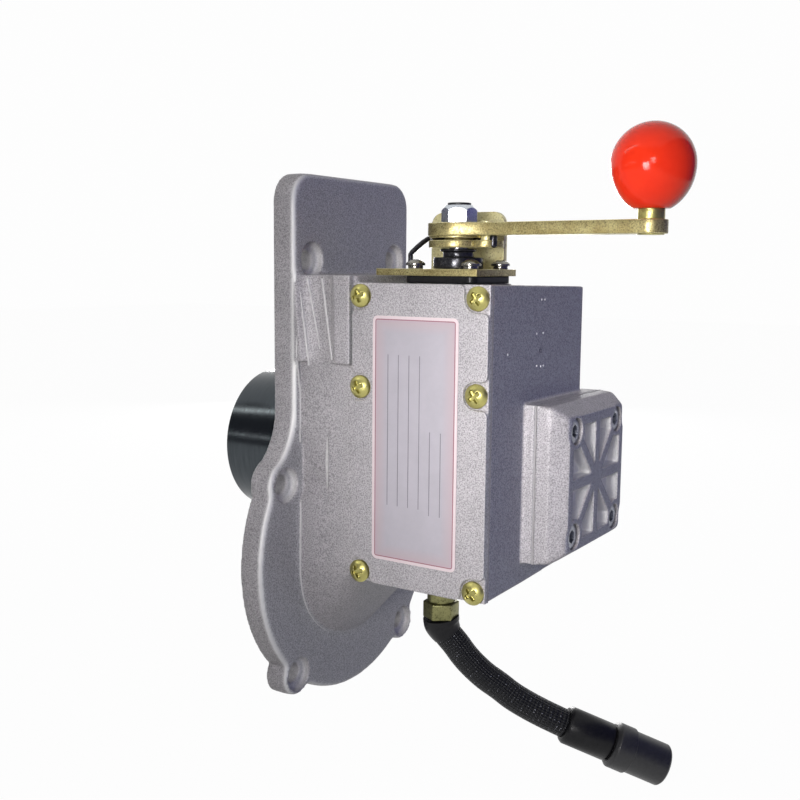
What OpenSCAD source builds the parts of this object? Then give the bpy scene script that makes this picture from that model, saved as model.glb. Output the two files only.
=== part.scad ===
// Engine governor actuator: a solenoid that moves a pump's fuel rack, with a hand stop lever.
// X runs along the solenoid from the pump (negative) to the end cap (positive), Z is up.
// The origin is on the solenoid's axis, in the flange's mating face.

/* [Flange] */
// Thickness of the pump flange
flange_t = 11.3; // [9:0.1:14]
// Sideways offset of the flange's middle plane from the solenoid axis
flange_y = -21.3; // [-24:0.1:-18]
// Width of the upper flange
flange_w = 90.6; // [86:0.1:96]
// Height of the flange's top edge
flange_top_z = 128.2; // [118:0.1:134]
// Corner radius of the upper flange
flange_corner_r = 12; // [6:0.5:14]
// Radius of the lower round part
drum_r = 68.7; // [66:0.1:72]
// Height of the lower round part's centre
drum_z = -41.4; // [-44:0.1:-39]
// Radius of the flare between the straight side and the middle lug
flare_r = 30.4; // [26:0.2:34]
// Height where the flare starts
flare_z = 27; // [24:0.2:30]

/* [Flange bolts] */
// Diameter of a bolt hole
bolt_d = 8.5; // [7:0.1:9]
// Diameter of a bolt's spot face
spot_d = 15; // [13:0.5:16]
// Depth of a bolt's spot face
spot_depth = 3.5; // [2:0.1:5]
// Distance between the upper bolts
upper_bolt_pitch = 65.2; // [60:0.2:68]
// Height of the upper bolts
upper_bolt_z = 91.2; // [89:0.2:100]
// Distance between the lower bolts
lower_bolt_pitch = 85.8; // [82:0.2:90]
// Height of the lower bolts
lower_bolt_z = -93.2; // [-96:0.2:-90]
// Sideways distance of the middle bolt from the flange's middle plane
mid_bolt_y = 50.9; // [49:0.1:54]
// Height of the middle bolt
mid_bolt_z = -5.4; // [-8:0.1:-3]
// Radius of the middle lug
mid_lug_r = 11; // [10:0.1:13]
// Radius of the lower lugs
lower_lug_r = 9.5; // [9:0.1:12]

/* [Neck and box] */
// Length of the neck between flange and box
neck_len = 29.9; // [27:0.1:33]
// Width of the neck
neck_w = 84; // [80:0.5:86]
// Height of the neck's top
neck_top_z = 85.1; // [84:0.1:88]
// Radius of the neck's round foot on the flange
neck_r = 43; // [42:0.1:46]
// Width of the box along the solenoid
box_w = 63.3; // [62:0.1:70]
// Depth of the box with its cover
box_d = 90.5; // [88:0.1:96]
// Height of the box
box_h = 125; // [122:0.5:130]
// Height of the box's top
box_top_z = 82.1; // [80:0.1:83]
// Wall thickness of the casting
wall = 4; // [3:0.1:5]
// Draft of the box's top and bottom over its depth
draft = 1.5; // [0.5:0.1:2]
// Outer radius of the barrel round the push rod
barrel_r = 34; // [33:0.1:36]
// Inner radius of the barrel
barrel_bore_r = 28; // [26:0.1:30]

/* [Side cover] */
// Thickness of the cover
cover_t = 3.6; // [3:0.1:6]
// Thickness of the cover's gasket
cover_gasket_t = 0.8; // [0.5:0.1:1.5]
// Distance of the cover screws from the edge next to the neck
cover_screw_near = 3.8; // [3.6:0.1:6]
// Distance of the cover screws from the edge next to the end cap
cover_screw_far = 5; // [3.8:0.1:6]
// Distance of the upper cover screws from the top edge
cover_screw_top = 5.3; // [3.8:0.1:6]
// Distance of the lower cover screws from the bottom edge
cover_screw_low = 3.9; // [3.8:0.1:6]
// Height of the middle cover screws
cover_screw_mid_z = 39.4; // [30:0.2:50]
// Radius of a screw pocket
pocket_r = 5.6; // [5.2:0.1:6]
// Depth of a screw pocket
pocket_depth = 1.4; // [0.8:0.1:1.8]
// Width of the data label
label_w = 40; // [30:0.5:44]
// Height of the data label
label_h = 101; // [80:0.5:104]
// Thickness of the data label
label_t = 0.3; // [0.2:0.05:0.6]
// Height of the label's middle
label_z = 18.6; // [14:0.2:22]

/* [End cap] */
// Width of the end boss and cap
cap_w = 68.4; // [66:0.2:72]
// Height of the end boss and cap
cap_h = 66.4; // [64:0.2:70]
// Length of the boss on the housing
boss_len = 5; // [4:0.1:8]
// Thickness of the cap's gasket
cap_gasket_t = 0.8; // [0.5:0.1:1.5]
// Overall thickness of the cap
cap_t = 13.1; // [12:0.1:16]
// Straight part of the cap's side
cap_side = 5.9; // [4:0.1:7]
// How far the cap's sloped edge comes in
cap_slope = 4.9; // [3:0.1:6]
// Width of the cap's spokes
spoke_w = 4.6; // [3.5:0.1:6]
// Width of the cap's outer rim
rim_w = 4.2; // [3:0.1:6]
// Depth of the cap's pockets
cap_pocket_depth = 5.5; // [3:0.1:6]
// Radius of the cap's hub
hub_r = 5.5; // [4:0.1:8]
// Distance between the cap's screws
cap_screw_pitch = 44.4; // [42:0.2:46]

/* [Solenoid] */
// Radius of the steel can
can_r = 35.2; // [34:0.1:37]
// Length of the can behind the flange
can_len = 57.7; // [54:0.1:62]
// Wall of the can
can_wall = 4; // [3:0.1:5]
// Thickness of the can's end
can_end = 6; // [4:0.1:8]
// Length of the can's spigot in the housing
spigot_len = 8; // [6:0.1:9]
// Step from the can to its spigot
spigot_step = 2.2; // [1.5:0.1:3]
// Radius of the push rod
rod_r = 4; // [3:0.1:5]
// Radius of the plunger
plunger_r = 12; // [11:0.1:13]
// Stroke of the plunger
stroke = 15; // [10:0.5:15]
// How far the push rod stands out behind the can
rod_out = 8; // [6:0.5:10]
// Radius of the push rod's turned down tip
rod_tip_r = 3; // [2.5:0.1:3.5]
// Running clearance of the rod in its bushes
run_gap = 0.05; // [0.02:0.01:0.1]
// Wall of the rod bushes
bush_wall = 2; // [1.5:0.1:2.5]
// Wire of the return spring
return_wire = 1.8; // [1.4:0.1:2]

/* [Stop lever] */
// Position of the lever's pivot along the solenoid
pivot_x = 72.85; // [70:0.05:75]
// Sideways position of the lever's pivot
pivot_y = -34.3; // [-38:0.1:-32]
// Angle of the lever at rest
lever_angle = -4.7; // [-8:0.1:0]
// Distance from the pivot to the knob
lever_len = 85; // [70:0.5:95]
// Thickness of the lever
lever_t = 5.2; // [4:0.1:6]
// Width of the lever's arm
lever_w = 12.6; // [10:0.1:14]
// Radius of the lever's round end at the pivot
lever_hub_r = 12.9; // [11:0.1:14]
// Radius of the stop shaft
shaft_r = 4; // [3.5:0.1:4.5]
// Diameter of the ball knob
knob_d = 31; // [28:0.5:36]
// Diameter of the knob's flat foot
knob_foot_d = 13.8; // [12:0.2:16]
// Radius of the knob's stem
stem_r = 5; // [4:0.1:6]
// Visible height of the knob's stem
stem_h = 3.9; // [3:0.1:8]
// Wire of the torsion spring
torsion_wire = 1.3; // [1:0.1:1.6]

/* [Bearing plate] */
// Thickness of the plate
plate_t = 2.8; // [2:0.1:3.5]
// Thickness of the rubber gasket below it
plate_gasket_t = 3; // [2.5:0.1:4]
// Side of the square rubber gasket
plate_gasket_w = 33; // [31:0.5:36]
// Reach of the plate towards the pump
plate_back = 30; // [28:0.5:30.5]
// Reach of the plate towards the end cap
plate_front = 18; // [17:0.5:24]
// Reach of the plate towards the cover
plate_near = 17; // [17:0.5:22]
// Reach of the plate towards the stop bracket
plate_far = 20.6; // [20:0.1:22]
// Height of the stop bracket above the plate
bracket_h = 24.4; // [20:0.2:28]
// Width of the stop bracket
bracket_w = 36; // [30:0.5:38]
// Distance between the plate's screws
plate_screw_pitch = 26; // [25:0.2:28]

/* [Cable] */
// Diameter of the sleeved cable
cable_d = 12.6; // [11:0.1:14]
// Position of the gland along the solenoid
gland_x = 71; // [66:0.5:78]
// Sideways position of the gland
gland_y = -41.5; // [-46:0.5:-36]
// Width across the flats of the gland nut
gland_af = 13.6; // [13:0.1:16]
// Diameter of the boot at the cable's end
boot_d = 16.5; // [15:0.1:18]
// Length of the boot
boot_len = 22; // [16:0.5:30]
// Diameter of the connector
plug_d = 20; // [18:0.5:24]
// Length of the connector
plug_len = 26; // [20:0.5:36]

/* [Hidden] */
$fn = 64;
// Small overlap for cuts that pass a face
eps = 0.1;
// Gap between fixed pieces that are fitted together
fit_gap = 0.05;
// Gap between pieces that move past each other
move_gap = 0.5;

// Faces of the box
box_x0 = flange_t + neck_len;
box_x1 = box_x0 + box_w;
box_bottom_z = box_top_z - box_h;
cover_y = flange_y - box_d / 2;
back_y = flange_y + box_d / 2;
open_y = cover_y + cover_t + cover_gasket_t;
cavity_x0 = box_x0 + wall;
cavity_x1 = box_x1 - wall;
cavity_back_y = back_y - wall;
// Foot of the raised pad on the neck's side
pad_z0 = 48;

// Cover screws
cover_screw_len = 14;
cover_screw_r = 2.5;
cover_post_r = 6;
cover_screw_xs = [box_x0 + cover_screw_near, box_x1 - cover_screw_far];
cover_screw_zs = [box_top_z - cover_screw_top, cover_screw_mid_z, box_bottom_z + cover_screw_low];
screw_seat_y = cover_y + pocket_depth;

// End cap
boss_x1 = box_x1 + boss_len;
cap_x0 = boss_x1 + cap_gasket_t;
cap_x1 = cap_x0 + cap_t;
cap_bore_r = 20;
cap_bore_depth = 5;
cap_screw_r = 3;
cap_head_r = 5;
cap_head_h = 6;
cap_head_bore_r = 5.6;
cap_head_sink = 7.2;
cap_screw_len = 19;

// Solenoid
spigot_r = can_r - spigot_step;
can_inner_r = spigot_r - 3;
pole_t = 9;
pole_x0 = -1;
core_len = 12;
core_x0 = pole_x0 - core_len;
coil_x0 = -can_len + can_end + fit_gap;
bobbin_bore_r = plunger_r + move_gap;
bobbin_wall = 1.5;
bobbin_flange_t = 2;
bush_r = rod_r + run_gap + bush_wall;
plunger_x1 = core_x0 - stroke - move_gap;
plunger_x0 = coil_x0 + 1.5;
rod_x0 = -can_len - rod_out;
collar_t = 5;
collar_r = 11;
collar_x0 = 26;
seat_t = 2.5;
seat_r = 10.5;
seat_x0 = 82;
rod_x1 = seat_x0 + 14;
rod_tip_len = rod_out - 1;
spring_x1 = cap_x0 + cap_bore_depth;
spring_mean_r = 8;
spring_turns = 6;

// Heights of the pieces stacked on the stop shaft
plate_z0 = box_top_z + plate_gasket_t;
plate_z1 = plate_z0 + plate_t;
bush_base_r = 10.5;
bush_base_h = 4.8;
bush_neck_r = 6.5;
bush_neck_h = 2.4;
bush_collar_r = 7.6;
bush_collar_h = 1.2;
bush_top_z = plate_z1 + bush_base_h + bush_neck_h + bush_collar_h;
disc_gap = 0.35;
disc_z0 = bush_top_z + disc_gap;
disc_t = 3;
disc_r = 12.5;
wire_gap = 0.3;
hub_gap = torsion_wire + 2 * wire_gap;
lever_z0 = disc_z0 + disc_t + hub_gap;
lever_z1 = lever_z0 + lever_t;
nut_h = 7.4;
nut_af = 13;
nut_ring_h = 1;
shaft_top_z = lever_z1 + nut_h + nut_ring_h - 1.2;
bush_bottom_z = box_top_z - wall - 2;
bush_spigot_r = 6.5;
seal_r = shaft_r + 1.6;
seal_h = 2;
seal_z0 = bush_top_z - 3.5;

// Stop finger inside the box
finger_z0 = rod_r + 2;
finger_t = 5;
finger_w = 6;
finger_len = 40;
finger_hub_r = 8;
finger_hub_h = 14;

// Stop pin through the lever
pin_reach = 13.8;
pin_r = 2.5;
pin_drop = lever_z0 - disc_z0;
ear_r = 7;

// Bearing plate screws
plate_screw_r = 2;
plate_head_r = 4;
plate_head_h = 2.6;
washer_t = 1.4;
washer_r = 3.1;
plate_screw_len = 11;
plate_screw_at = [for (sx = [-1, 1], sy = [-1, 1])
    [pivot_x + sx * plate_screw_pitch / 2, pivot_y + sy * plate_screw_pitch / 2]];

// Knob
knob_z0 = lever_z1 + stem_h;
knob_r = knob_d / 2;
knob_low = knob_r * 1.14;
knob_cut_a = acos(knob_foot_d / knob_d);
knob_z = knob_z0 + knob_low * sin(knob_cut_a);
knob_x = pivot_x + lever_len * cos(lever_angle);
knob_y = pivot_y + lever_len * sin(lever_angle);

// Gland
gland_base_h = 4;
gland_neck_h = 6.9;
gland_nut_h = 7.1;
gland_neck_r = 6;
gland_thread_r = 5;
gland_thread_len = 8;
gland_bore_r = 3.5;
gland_nut_z0 = box_bottom_z - gland_base_h - gland_neck_h - gland_nut_h;

// Route of the cable's middle line below the gland, then the straight run of boot and connector
cable_route = [[gland_x, gland_y, gland_nut_z0], [71.5, -41, -64.5], [73.5, -40, -68.5], [76.5, -38, -73],
    [79.5, -36, -78], [83, -34, -82.5], [87.5, -31, -87.5], [92.5, -27.5, -92], [97.5, -24.5, -96.5],
    [103.5, -20.5, -101], [110, -16.5, -105], [117, -12, -109]];
cable_sides = 12;
cable_end = cable_route[len(cable_route) - 1];
plug_dir = unit([7, 4.5, -3.6]);

function unit(v) = v / norm(v);
function route_dir(p, i) =
    i == 0 ? [0, 0, -1]
    : i == len(p) - 1 ? plug_dir
    : unit(p[i + 1] - p[i - 1]);
// Points of one ring of a tube, square to the route
function ring(p, i, r, n) =
    let (t = route_dir(p, i), s = unit(cross(t, [-plug_dir.y, plug_dir.x, 0])), b = cross(t, s))
    [for (k = [0 : n - 1]) p[i] + r * (cos(360 * k / n) * s + sin(360 * k / n) * b)];

// A flat profile in Y and Z, pulled along X
module along_x(x0, length) {
    translate([x0, 0, 0]) rotate([90, 0, 90]) linear_extrude(length) children();
}

module x_rod(x0, length, r, y = 0, z = 0) {
    translate([x0, y, z]) rotate([0, 90, 0]) cylinder(h = length, r = r);
}

module y_rod(y0, length, r, x, z) {
    translate([x, y0 + length, z]) rotate([90, 0, 0]) cylinder(h = length, r = r);
}

module hex(af, height, turn = 0) {
    rotate([0, 0, turn]) cylinder(h = height, d = af / cos(30), $fn = 6);
}

module flange_holes(r, x0, length) {
    for (s = [-1, 1]) {
        x_rod(x0, length, r, flange_y + s * upper_bolt_pitch / 2, upper_bolt_z);
        x_rod(x0, length, r, flange_y + s * lower_bolt_pitch / 2, lower_bolt_z);
    }
    x_rod(x0, length, r, flange_y - mid_bolt_y, mid_bolt_z);
}

// Side flare that leads the straight edge out to the middle lug
module flare() {
    reach = 0.45 * flare_r;
    difference() {
        translate([-flange_w / 2 - reach, mid_bolt_z]) square([reach + eps, flare_z - mid_bolt_z]);
        translate([-flange_w / 2 - flare_r, flare_z]) circle(flare_r);
    }
}

module flange_outline() {
    translate([flange_y, 0]) {
        translate([-flange_w / 2, drum_z]) square([flange_w, flange_top_z - flange_corner_r - drum_z]);
        translate([flange_corner_r - flange_w / 2, drum_z])
            square([flange_w - 2 * flange_corner_r, flange_top_z - drum_z]);
        for (s = [-1, 1])
            translate([s * (flange_w / 2 - flange_corner_r), flange_top_z - flange_corner_r]) circle(flange_corner_r);
        translate([0, drum_z]) circle(drum_r);
        flare();
        mirror([1, 0]) flare();
        translate([-mid_bolt_y, mid_bolt_z]) circle(mid_lug_r);
        for (s = [-1, 1]) translate([s * lower_bolt_pitch / 2, lower_bolt_z]) circle(lower_lug_r);
    }
    circle(can_r + wall);
}

// Section of the neck at the flange, less a wall
module neck_foot(inset) {
    translate([flange_y, 0]) {
        translate([inset - neck_w / 2, drum_z]) square([neck_w - 2 * inset, neck_top_z - inset - drum_z]);
        translate([0, drum_z]) circle(neck_r - inset);
    }
}

// Section of the neck at the box, less a wall
module neck_head(inset) {
    corner_r = 10;
    low_z = box_bottom_z + inset + corner_r;
    translate([flange_y, 0]) {
        translate([inset - neck_w / 2, low_z]) square([neck_w - 2 * inset, neck_top_z - inset - low_z]);
        for (s = [-1, 1]) translate([s * (neck_w / 2 - inset - corner_r), low_z]) circle(corner_r);
    }
}

// Neck from the flange's round foot to the box's flat bottom
module neck(x0, x1, inset) {
    skin = 0.2;
    hull() {
        along_x(x0, skin) neck_foot(inset);
        along_x(x1 - skin, skin) neck_head(inset);
    }
}

// Raised pad at the top of the neck's side
module neck_pad() {
    pad_t = (box_d - neck_w) / 2;
    pad_gap = 1.4;
    translate([flange_t - eps, cover_y, pad_z0]) cube([neck_len + eps - pad_gap, pad_t + eps, neck_top_z - pad_z0]);
}

// Leaning round channel down the pad, clear of the flange
module pad_scoop() {
    scoop_r = 12;
    lean_x = -3.5;
    lean_y = -3.5;
    intersection() {
        translate([flange_t + scoop_r - 2.2, cover_y - scoop_r / 2, neck_top_z + 2]) rotate([lean_y, lean_x, 0])
            translate([0, 0, pad_z0 - neck_top_z - 2]) cylinder(h = neck_top_z - pad_z0 + 8, r = scoop_r);
        translate([flange_t, cover_y - 20, pad_z0]) cube([2 * scoop_r, 40, 2 * neck_top_z]);
    }
}

// Places a piece and its mirror image on both sides of the flange's middle plane
module both_sides() {
    children();
    translate([0, 2 * flange_y, 0]) mirror([0, 1, 0]) children();
}

// Hollow behind the flange, round the can's seat
module back_recess() {
    recess_x1 = box_x0 - 10;
    difference() {
        neck(-eps, recess_x1, wall + 1.5);
        x_rod(-1, recess_x1 + 2, can_r + wall);
    }
}

// The box's closed outline, narrower at the back by its draft
module box_outline() {
    polygon([[open_y, box_top_z], [back_y, box_top_z - draft],
        [back_y, box_bottom_z + draft], [open_y, box_bottom_z]]);
}

module cover_posts(r, y0, length) {
    for (x = cover_screw_xs, z = cover_screw_zs) y_rod(y0, length, r, x, z);
}

module box_cavity() {
    difference() {
        along_x(cavity_x0, cavity_x1 - cavity_x0)
            polygon([[open_y - eps, box_top_z - wall], [cavity_back_y, box_top_z - wall - draft],
                [cavity_back_y, box_bottom_z + wall + draft], [open_y - eps, box_bottom_z + wall]]);
        cover_posts(cover_post_r, open_y - 1, cover_screw_len + wall);
    }
}

// The whole casting, before it is parted into the box, the neck and the flange
module casting() {
    tool_r = 10.4;
    tool_x1 = 27;
    dish_r = 54;
    dish_depth = 1.3;
    dish_z = 5.1;
    cap_hole_depth = 7;
    pad_r = 9;
    difference() {
        union() {
            along_x(0, flange_t) flange_outline();
            neck(flange_t - eps, box_x0 + eps, 0);
            both_sides() neck_pad();
            along_x(box_x0, box_w) box_outline();
            translate([pivot_x - plate_gasket_w / 2, pivot_y - plate_gasket_w / 2, box_top_z - wall / 2])
                cube([plate_gasket_w, plate_gasket_w, wall / 2]);
            translate([gland_x, gland_y, box_bottom_z]) cylinder(h = wall / 2, r = pad_r);
            x_rod(eps, box_x1, barrel_r);
            along_x(box_x1 - wall, boss_len + wall) square([cap_w, cap_h], center = true);
        }
        flange_holes(bolt_d / 2, -eps, flange_t + 2 * eps);
        flange_holes(spot_d / 2, flange_t - spot_depth, spot_depth + neck_len / 3);
        x_rod(flange_t, tool_x1 - flange_t, tool_r, flange_y - mid_bolt_y, mid_bolt_z);
        x_rod(flange_t, tool_x1 - flange_t, dish_r, flange_y - neck_w / 2 - dish_r + dish_depth, dish_z);
        both_sides() pad_scoop();
        back_recess();
        box_cavity();
        translate([box_x0 - fit_gap, cover_y - 1, box_bottom_z - 1])
            cube([1, open_y - cover_y + 1, box_h + 2 * wall]);
        x_rod(-eps, spigot_len + eps, spigot_r + fit_gap);
        x_rod(-eps, cavity_x0 + 1, barrel_bore_r);
        x_rod(cavity_x0, cavity_x1 - cavity_x0, barrel_bore_r + 2);
        x_rod(cavity_x1 - eps, boss_len + wall + 2 * eps, cap_bore_r);
        cover_posts(cover_screw_r + fit_gap, open_y - eps, cover_screw_len);
        for (sy = [-1, 1], sz = [-1, 1])
            x_rod(boss_x1 - cap_hole_depth, cap_hole_depth + eps, cap_screw_r + fit_gap,
                sy * cap_screw_pitch / 2, sz * cap_screw_pitch / 2);
        translate([pivot_x, pivot_y, bush_bottom_z - eps]) cylinder(h = wall + 8, r = bush_spigot_r + fit_gap);
        for (p = plate_screw_at) translate([p.x, p.y, box_top_z - 7]) cylinder(h = 8, r = plate_screw_r + fit_gap);
        translate([gland_x, gland_y, box_bottom_z - eps]) cylinder(h = gland_thread_len, r = gland_thread_r + fit_gap);
    }
}

// The length of the casting between two planes square to the solenoid
module casting_slice(x0, x1) {
    reach = 2 * (flange_top_z + drum_r);
    intersection() {
        casting();
        translate([x0, -reach, -reach]) cube([x1 - x0, 2 * reach, 2 * reach]);
    }
}

module main_housing() {
    color("silver") casting_slice(box_x0, boss_x1 + 1);
}

module neck_shell() {
    color("silver") casting_slice(flange_t, box_x0);
}

// Block that parts the middle bolt's lug from the flange
module lug_block() {
    margin = 1;
    side = 2 * (mid_lug_r + margin);
    translate([-1, flange_y - mid_bolt_y + mid_lug_r - 2 * side, mid_bolt_z - side / 2]) cube([flange_t + 2, 2 * side, side]);
}

module pump_flange() {
    color("silver") difference() {
        casting_slice(-1, flange_t);
        lug_block();
    }
}

module middle_lug() {
    color("silver") intersection() {
        casting_slice(-1, flange_t);
        lug_block();
    }
}

module cover_plate(y0, length) {
    translate([box_x0, y0, box_bottom_z]) cube([box_w, length, box_h]);
}

// Corner of the cover rounded off where a pocket meets an edge
module mouth(r) {
    difference() {
        square(r);
        translate([r, r]) circle(r);
    }
}

// Pocket round one screw, open to the side edge and, at a corner, to the top or bottom edge too
module pocket(x, z, side, level) {
    mouth_r = 2.4;
    side_reach = side < 0 ? x - box_x0 : box_x1 - x;
    level_reach = level < 0 ? z - box_bottom_z : box_top_z - z;
    translate([x, z]) scale([side, level == 0 ? 1 : level]) {
        circle(pocket_r);
        translate([0, -pocket_r]) square([side_reach + 1, level == 0 ? 2 * pocket_r : pocket_r + level_reach + 1]);
        translate([side_reach, -pocket_r]) rotate([0, 0, 180]) mouth(mouth_r);
        if (level == 0) translate([side_reach, pocket_r]) rotate([0, 0, 90]) mouth(mouth_r);
        else {
            translate([-pocket_r, 0]) square([pocket_r, level_reach + 1]);
            translate([-pocket_r, level_reach]) rotate([0, 0, 180]) mouth(mouth_r);
        }
    }
}

module side_cover() {
    color("silver") difference() {
        cover_plate(cover_y, cover_t);
        translate([0, cover_y + pocket_depth, 0]) rotate([90, 0, 0]) linear_extrude(pocket_depth + eps)
            for (i = [0, 1], k = [0, 1, 2])
                pocket(cover_screw_xs[i], cover_screw_zs[k], 2 * i - 1, 1 - k);
        cover_posts(cover_screw_r + 2 * fit_gap, cover_y, cover_t + 1);
    }
}

module cover_gasket() {
    frame_w = 9;
    color("dimgray") difference() {
        cover_plate(cover_y + cover_t, cover_gasket_t);
        translate([box_x0 + frame_w, cover_y, box_bottom_z + frame_w])
            cube([box_w - 2 * frame_w, 20, box_h - 2 * frame_w]);
        cover_posts(cover_screw_r + 2 * fit_gap, cover_y, cover_t + 2);
    }
}

// Domed screw head with a cross recess, standing on z = 0
module pan_screw(head_r, head_h, shank_r, shank_len) {
    cross_w = head_r * 0.32;
    cross_len = head_r * 1.15;
    difference() {
        union() {
            rotate_extrude() intersection() {
                translate([0, head_h - 1.35 * head_r]) circle(1.35 * head_r);
                square([head_r, head_h]);
            }
            translate([0, 0, -shank_len]) cylinder(h = shank_len + eps, r = shank_r);
        }
        for (a = [0, 90]) rotate([0, 0, a])
            translate([-cross_len / 2, -cross_w / 2, head_h * 0.4]) cube([cross_len, cross_w, head_h]);
    }
}

module cover_screws() {
    head_r = 4.8;
    head_h = 3.4;
    tilt = 25;
    color("darkkhaki") for (x = cover_screw_xs, z = cover_screw_zs)
        translate([x, screw_seat_y, z]) rotate([90, tilt + 3 * x, 0])
            pan_screw(head_r, head_h, cover_screw_r, cover_screw_len + cover_t - pocket_depth - 1);
}

module data_label() {
    color("mistyrose") translate([(box_x0 + box_x1 - label_w) / 2 - 1, cover_y - label_t, label_z - label_h / 2])
        cube([label_w, label_t, label_h]);
}

// Outline of the cap seen along one axis: straight side, then a slope to the face
module cap_side_profile(width) {
    polygon([[cap_x0, -width / 2], [cap_x0 + cap_side, -width / 2], [cap_x1, cap_slope - width / 2],
        [cap_x1, width / 2 - cap_slope], [cap_x0 + cap_side, width / 2], [cap_x0, width / 2]]);
}

module cap_spokes() {
    reach = cap_w;
    for (a = [0 : 45 : 135]) rotate([0, 0, a]) square([reach, spoke_w], center = true);
    circle(hub_r);
    for (sy = [-1, 1], sz = [-1, 1]) translate([sy, sz] * cap_screw_pitch / 2) circle(cap_head_bore_r + 2);
}

module end_cap() {
    field_w = cap_w - 2 * cap_slope - 2 * rim_w;
    field_h = cap_h - 2 * cap_slope - 2 * rim_w;
    color("silver") difference() {
        intersection() {
            translate([0, 0, -cap_h]) linear_extrude(2 * cap_h) cap_side_profile(cap_w);
            translate([0, cap_w, 0]) rotate([90, 0, 0]) linear_extrude(2 * cap_w) cap_side_profile(cap_h);
        }
        along_x(cap_x1 - cap_pocket_depth, cap_pocket_depth + 1) difference() {
            square([field_w, field_h], center = true);
            cap_spokes();
        }
        x_rod(cap_x0 - eps, cap_bore_depth + eps, cap_bore_r - 5);
        for (sy = [-1, 1], sz = [-1, 1]) {
            x_rod(cap_x0 - eps, cap_t + 2 * eps, cap_screw_r + 2 * fit_gap,
                sy * cap_screw_pitch / 2, sz * cap_screw_pitch / 2);
            x_rod(cap_x1 - cap_head_sink, cap_head_sink + eps, cap_head_bore_r,
                sy * cap_screw_pitch / 2, sz * cap_screw_pitch / 2);
        }
    }
}

module end_cap_gasket() {
    color("dimgray") difference() {
        along_x(boss_x1, cap_gasket_t) square([cap_w, cap_h], center = true);
        x_rod(boss_x1 - eps, cap_gasket_t + 2 * eps, cap_bore_r);
        for (sy = [-1, 1], sz = [-1, 1])
            x_rod(boss_x1 - eps, cap_gasket_t + 2 * eps, cap_screw_r + 2 * fit_gap,
                sy * cap_screw_pitch / 2, sz * cap_screw_pitch / 2);
    }
}

module end_cap_screws() {
    socket_af = 5;
    head_x0 = cap_x1 - cap_head_sink;
    color("dimgray") for (sy = [-1, 1], sz = [-1, 1])
        translate([head_x0, sy * cap_screw_pitch / 2, sz * cap_screw_pitch / 2]) rotate([0, 90, 0]) difference() {
            union() {
                cylinder(h = cap_head_h, r = cap_head_r);
                translate([0, 0, -cap_screw_len + cap_head_h]) cylinder(h = cap_screw_len - cap_head_h + eps, r = cap_screw_r);
            }
            translate([0, 0, cap_head_h / 2]) hex(socket_af, cap_head_h);
        }
}

module solenoid_can() {
    edge = 1;
    color("slategray") difference() {
        rotate([0, 90, 0]) rotate_extrude() polygon([[0, -can_len], [can_r - edge, -can_len],
            [can_r, edge - can_len], [can_r, 0], [spigot_r, 0], [spigot_r, spigot_len], [0, spigot_len]]);
        x_rod(can_end - can_len, can_len + spigot_len, can_inner_r);
        x_rod(-can_len - 1, can_end + 2, bush_r + fit_gap);
    }
}

module coil_bobbin() {
    length = pole_x0 - coil_x0 - fit_gap;
    flange_r = can_inner_r - fit_gap;
    tube_r = bobbin_bore_r + bobbin_wall;
    color("ivory") translate([coil_x0, 0, 0]) rotate([0, 90, 0]) rotate_extrude()
        polygon([[bobbin_bore_r, 0], [flange_r, 0], [flange_r, bobbin_flange_t], [tube_r, bobbin_flange_t],
            [tube_r, length - bobbin_flange_t], [flange_r, length - bobbin_flange_t],
            [flange_r, length], [bobbin_bore_r, length]]);
}

module coil_winding() {
    length = pole_x0 - coil_x0 - 2 * bobbin_flange_t - 3 * fit_gap;
    tube_r = bobbin_bore_r + bobbin_wall + fit_gap;
    winding_r = can_inner_r - 2;
    color("peru") difference() {
        x_rod(coil_x0 + bobbin_flange_t + fit_gap, length, winding_r);
        x_rod(coil_x0, length + 10, tube_r);
    }
}

// Steel plate that closes the can, with the fixed core that pulls the plunger
module pole_piece() {
    color("lightslategray") difference() {
        union() {
            x_rod(pole_x0, pole_t, can_inner_r - fit_gap);
            x_rod(core_x0, core_len + eps, plunger_r);
        }
        x_rod(core_x0 - 1, core_len + pole_t + 2, bush_r + fit_gap);
    }
}

module rod_bush(x0, length) {
    color("darkgoldenrod") difference() {
        x_rod(x0, length, bush_r);
        x_rod(x0 - 1, length + 2, rod_r + run_gap);
    }
}

module rear_bush() {
    rod_bush(-can_len, can_end);
}

module front_bush() {
    rod_bush(core_x0 + 1, core_len + pole_t - 2);
}

module plunger() {
    color("lightslategray") difference() {
        x_rod(plunger_x0, plunger_x1 - plunger_x0, plunger_r);
        x_rod(plunger_x0 - 1, plunger_x1 - plunger_x0 + 2, rod_r + fit_gap);
    }
}

module push_rod() {
    edge = 0.8;
    length = rod_x1 - rod_x0;
    color("lightgray") translate([rod_x0, 0, 0]) rotate([0, 90, 0]) rotate_extrude()
        polygon([[0, 0], [rod_tip_r - edge, 0], [rod_tip_r, edge], [rod_tip_r, rod_tip_len], [rod_r, rod_tip_len],
            [rod_r, length - edge], [rod_r - edge, length], [0, length]]);
}

module rod_ring(x0, length, r) {
    difference() {
        x_rod(x0, length, r);
        x_rod(x0 - 1, length + 2, rod_r + fit_gap);
    }
}

module stop_collar() {
    color("slategray") rod_ring(collar_x0, collar_t, collar_r);
}

module spring_seat() {
    color("slategray") rod_ring(seat_x0, seat_t, seat_r);
}

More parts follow.
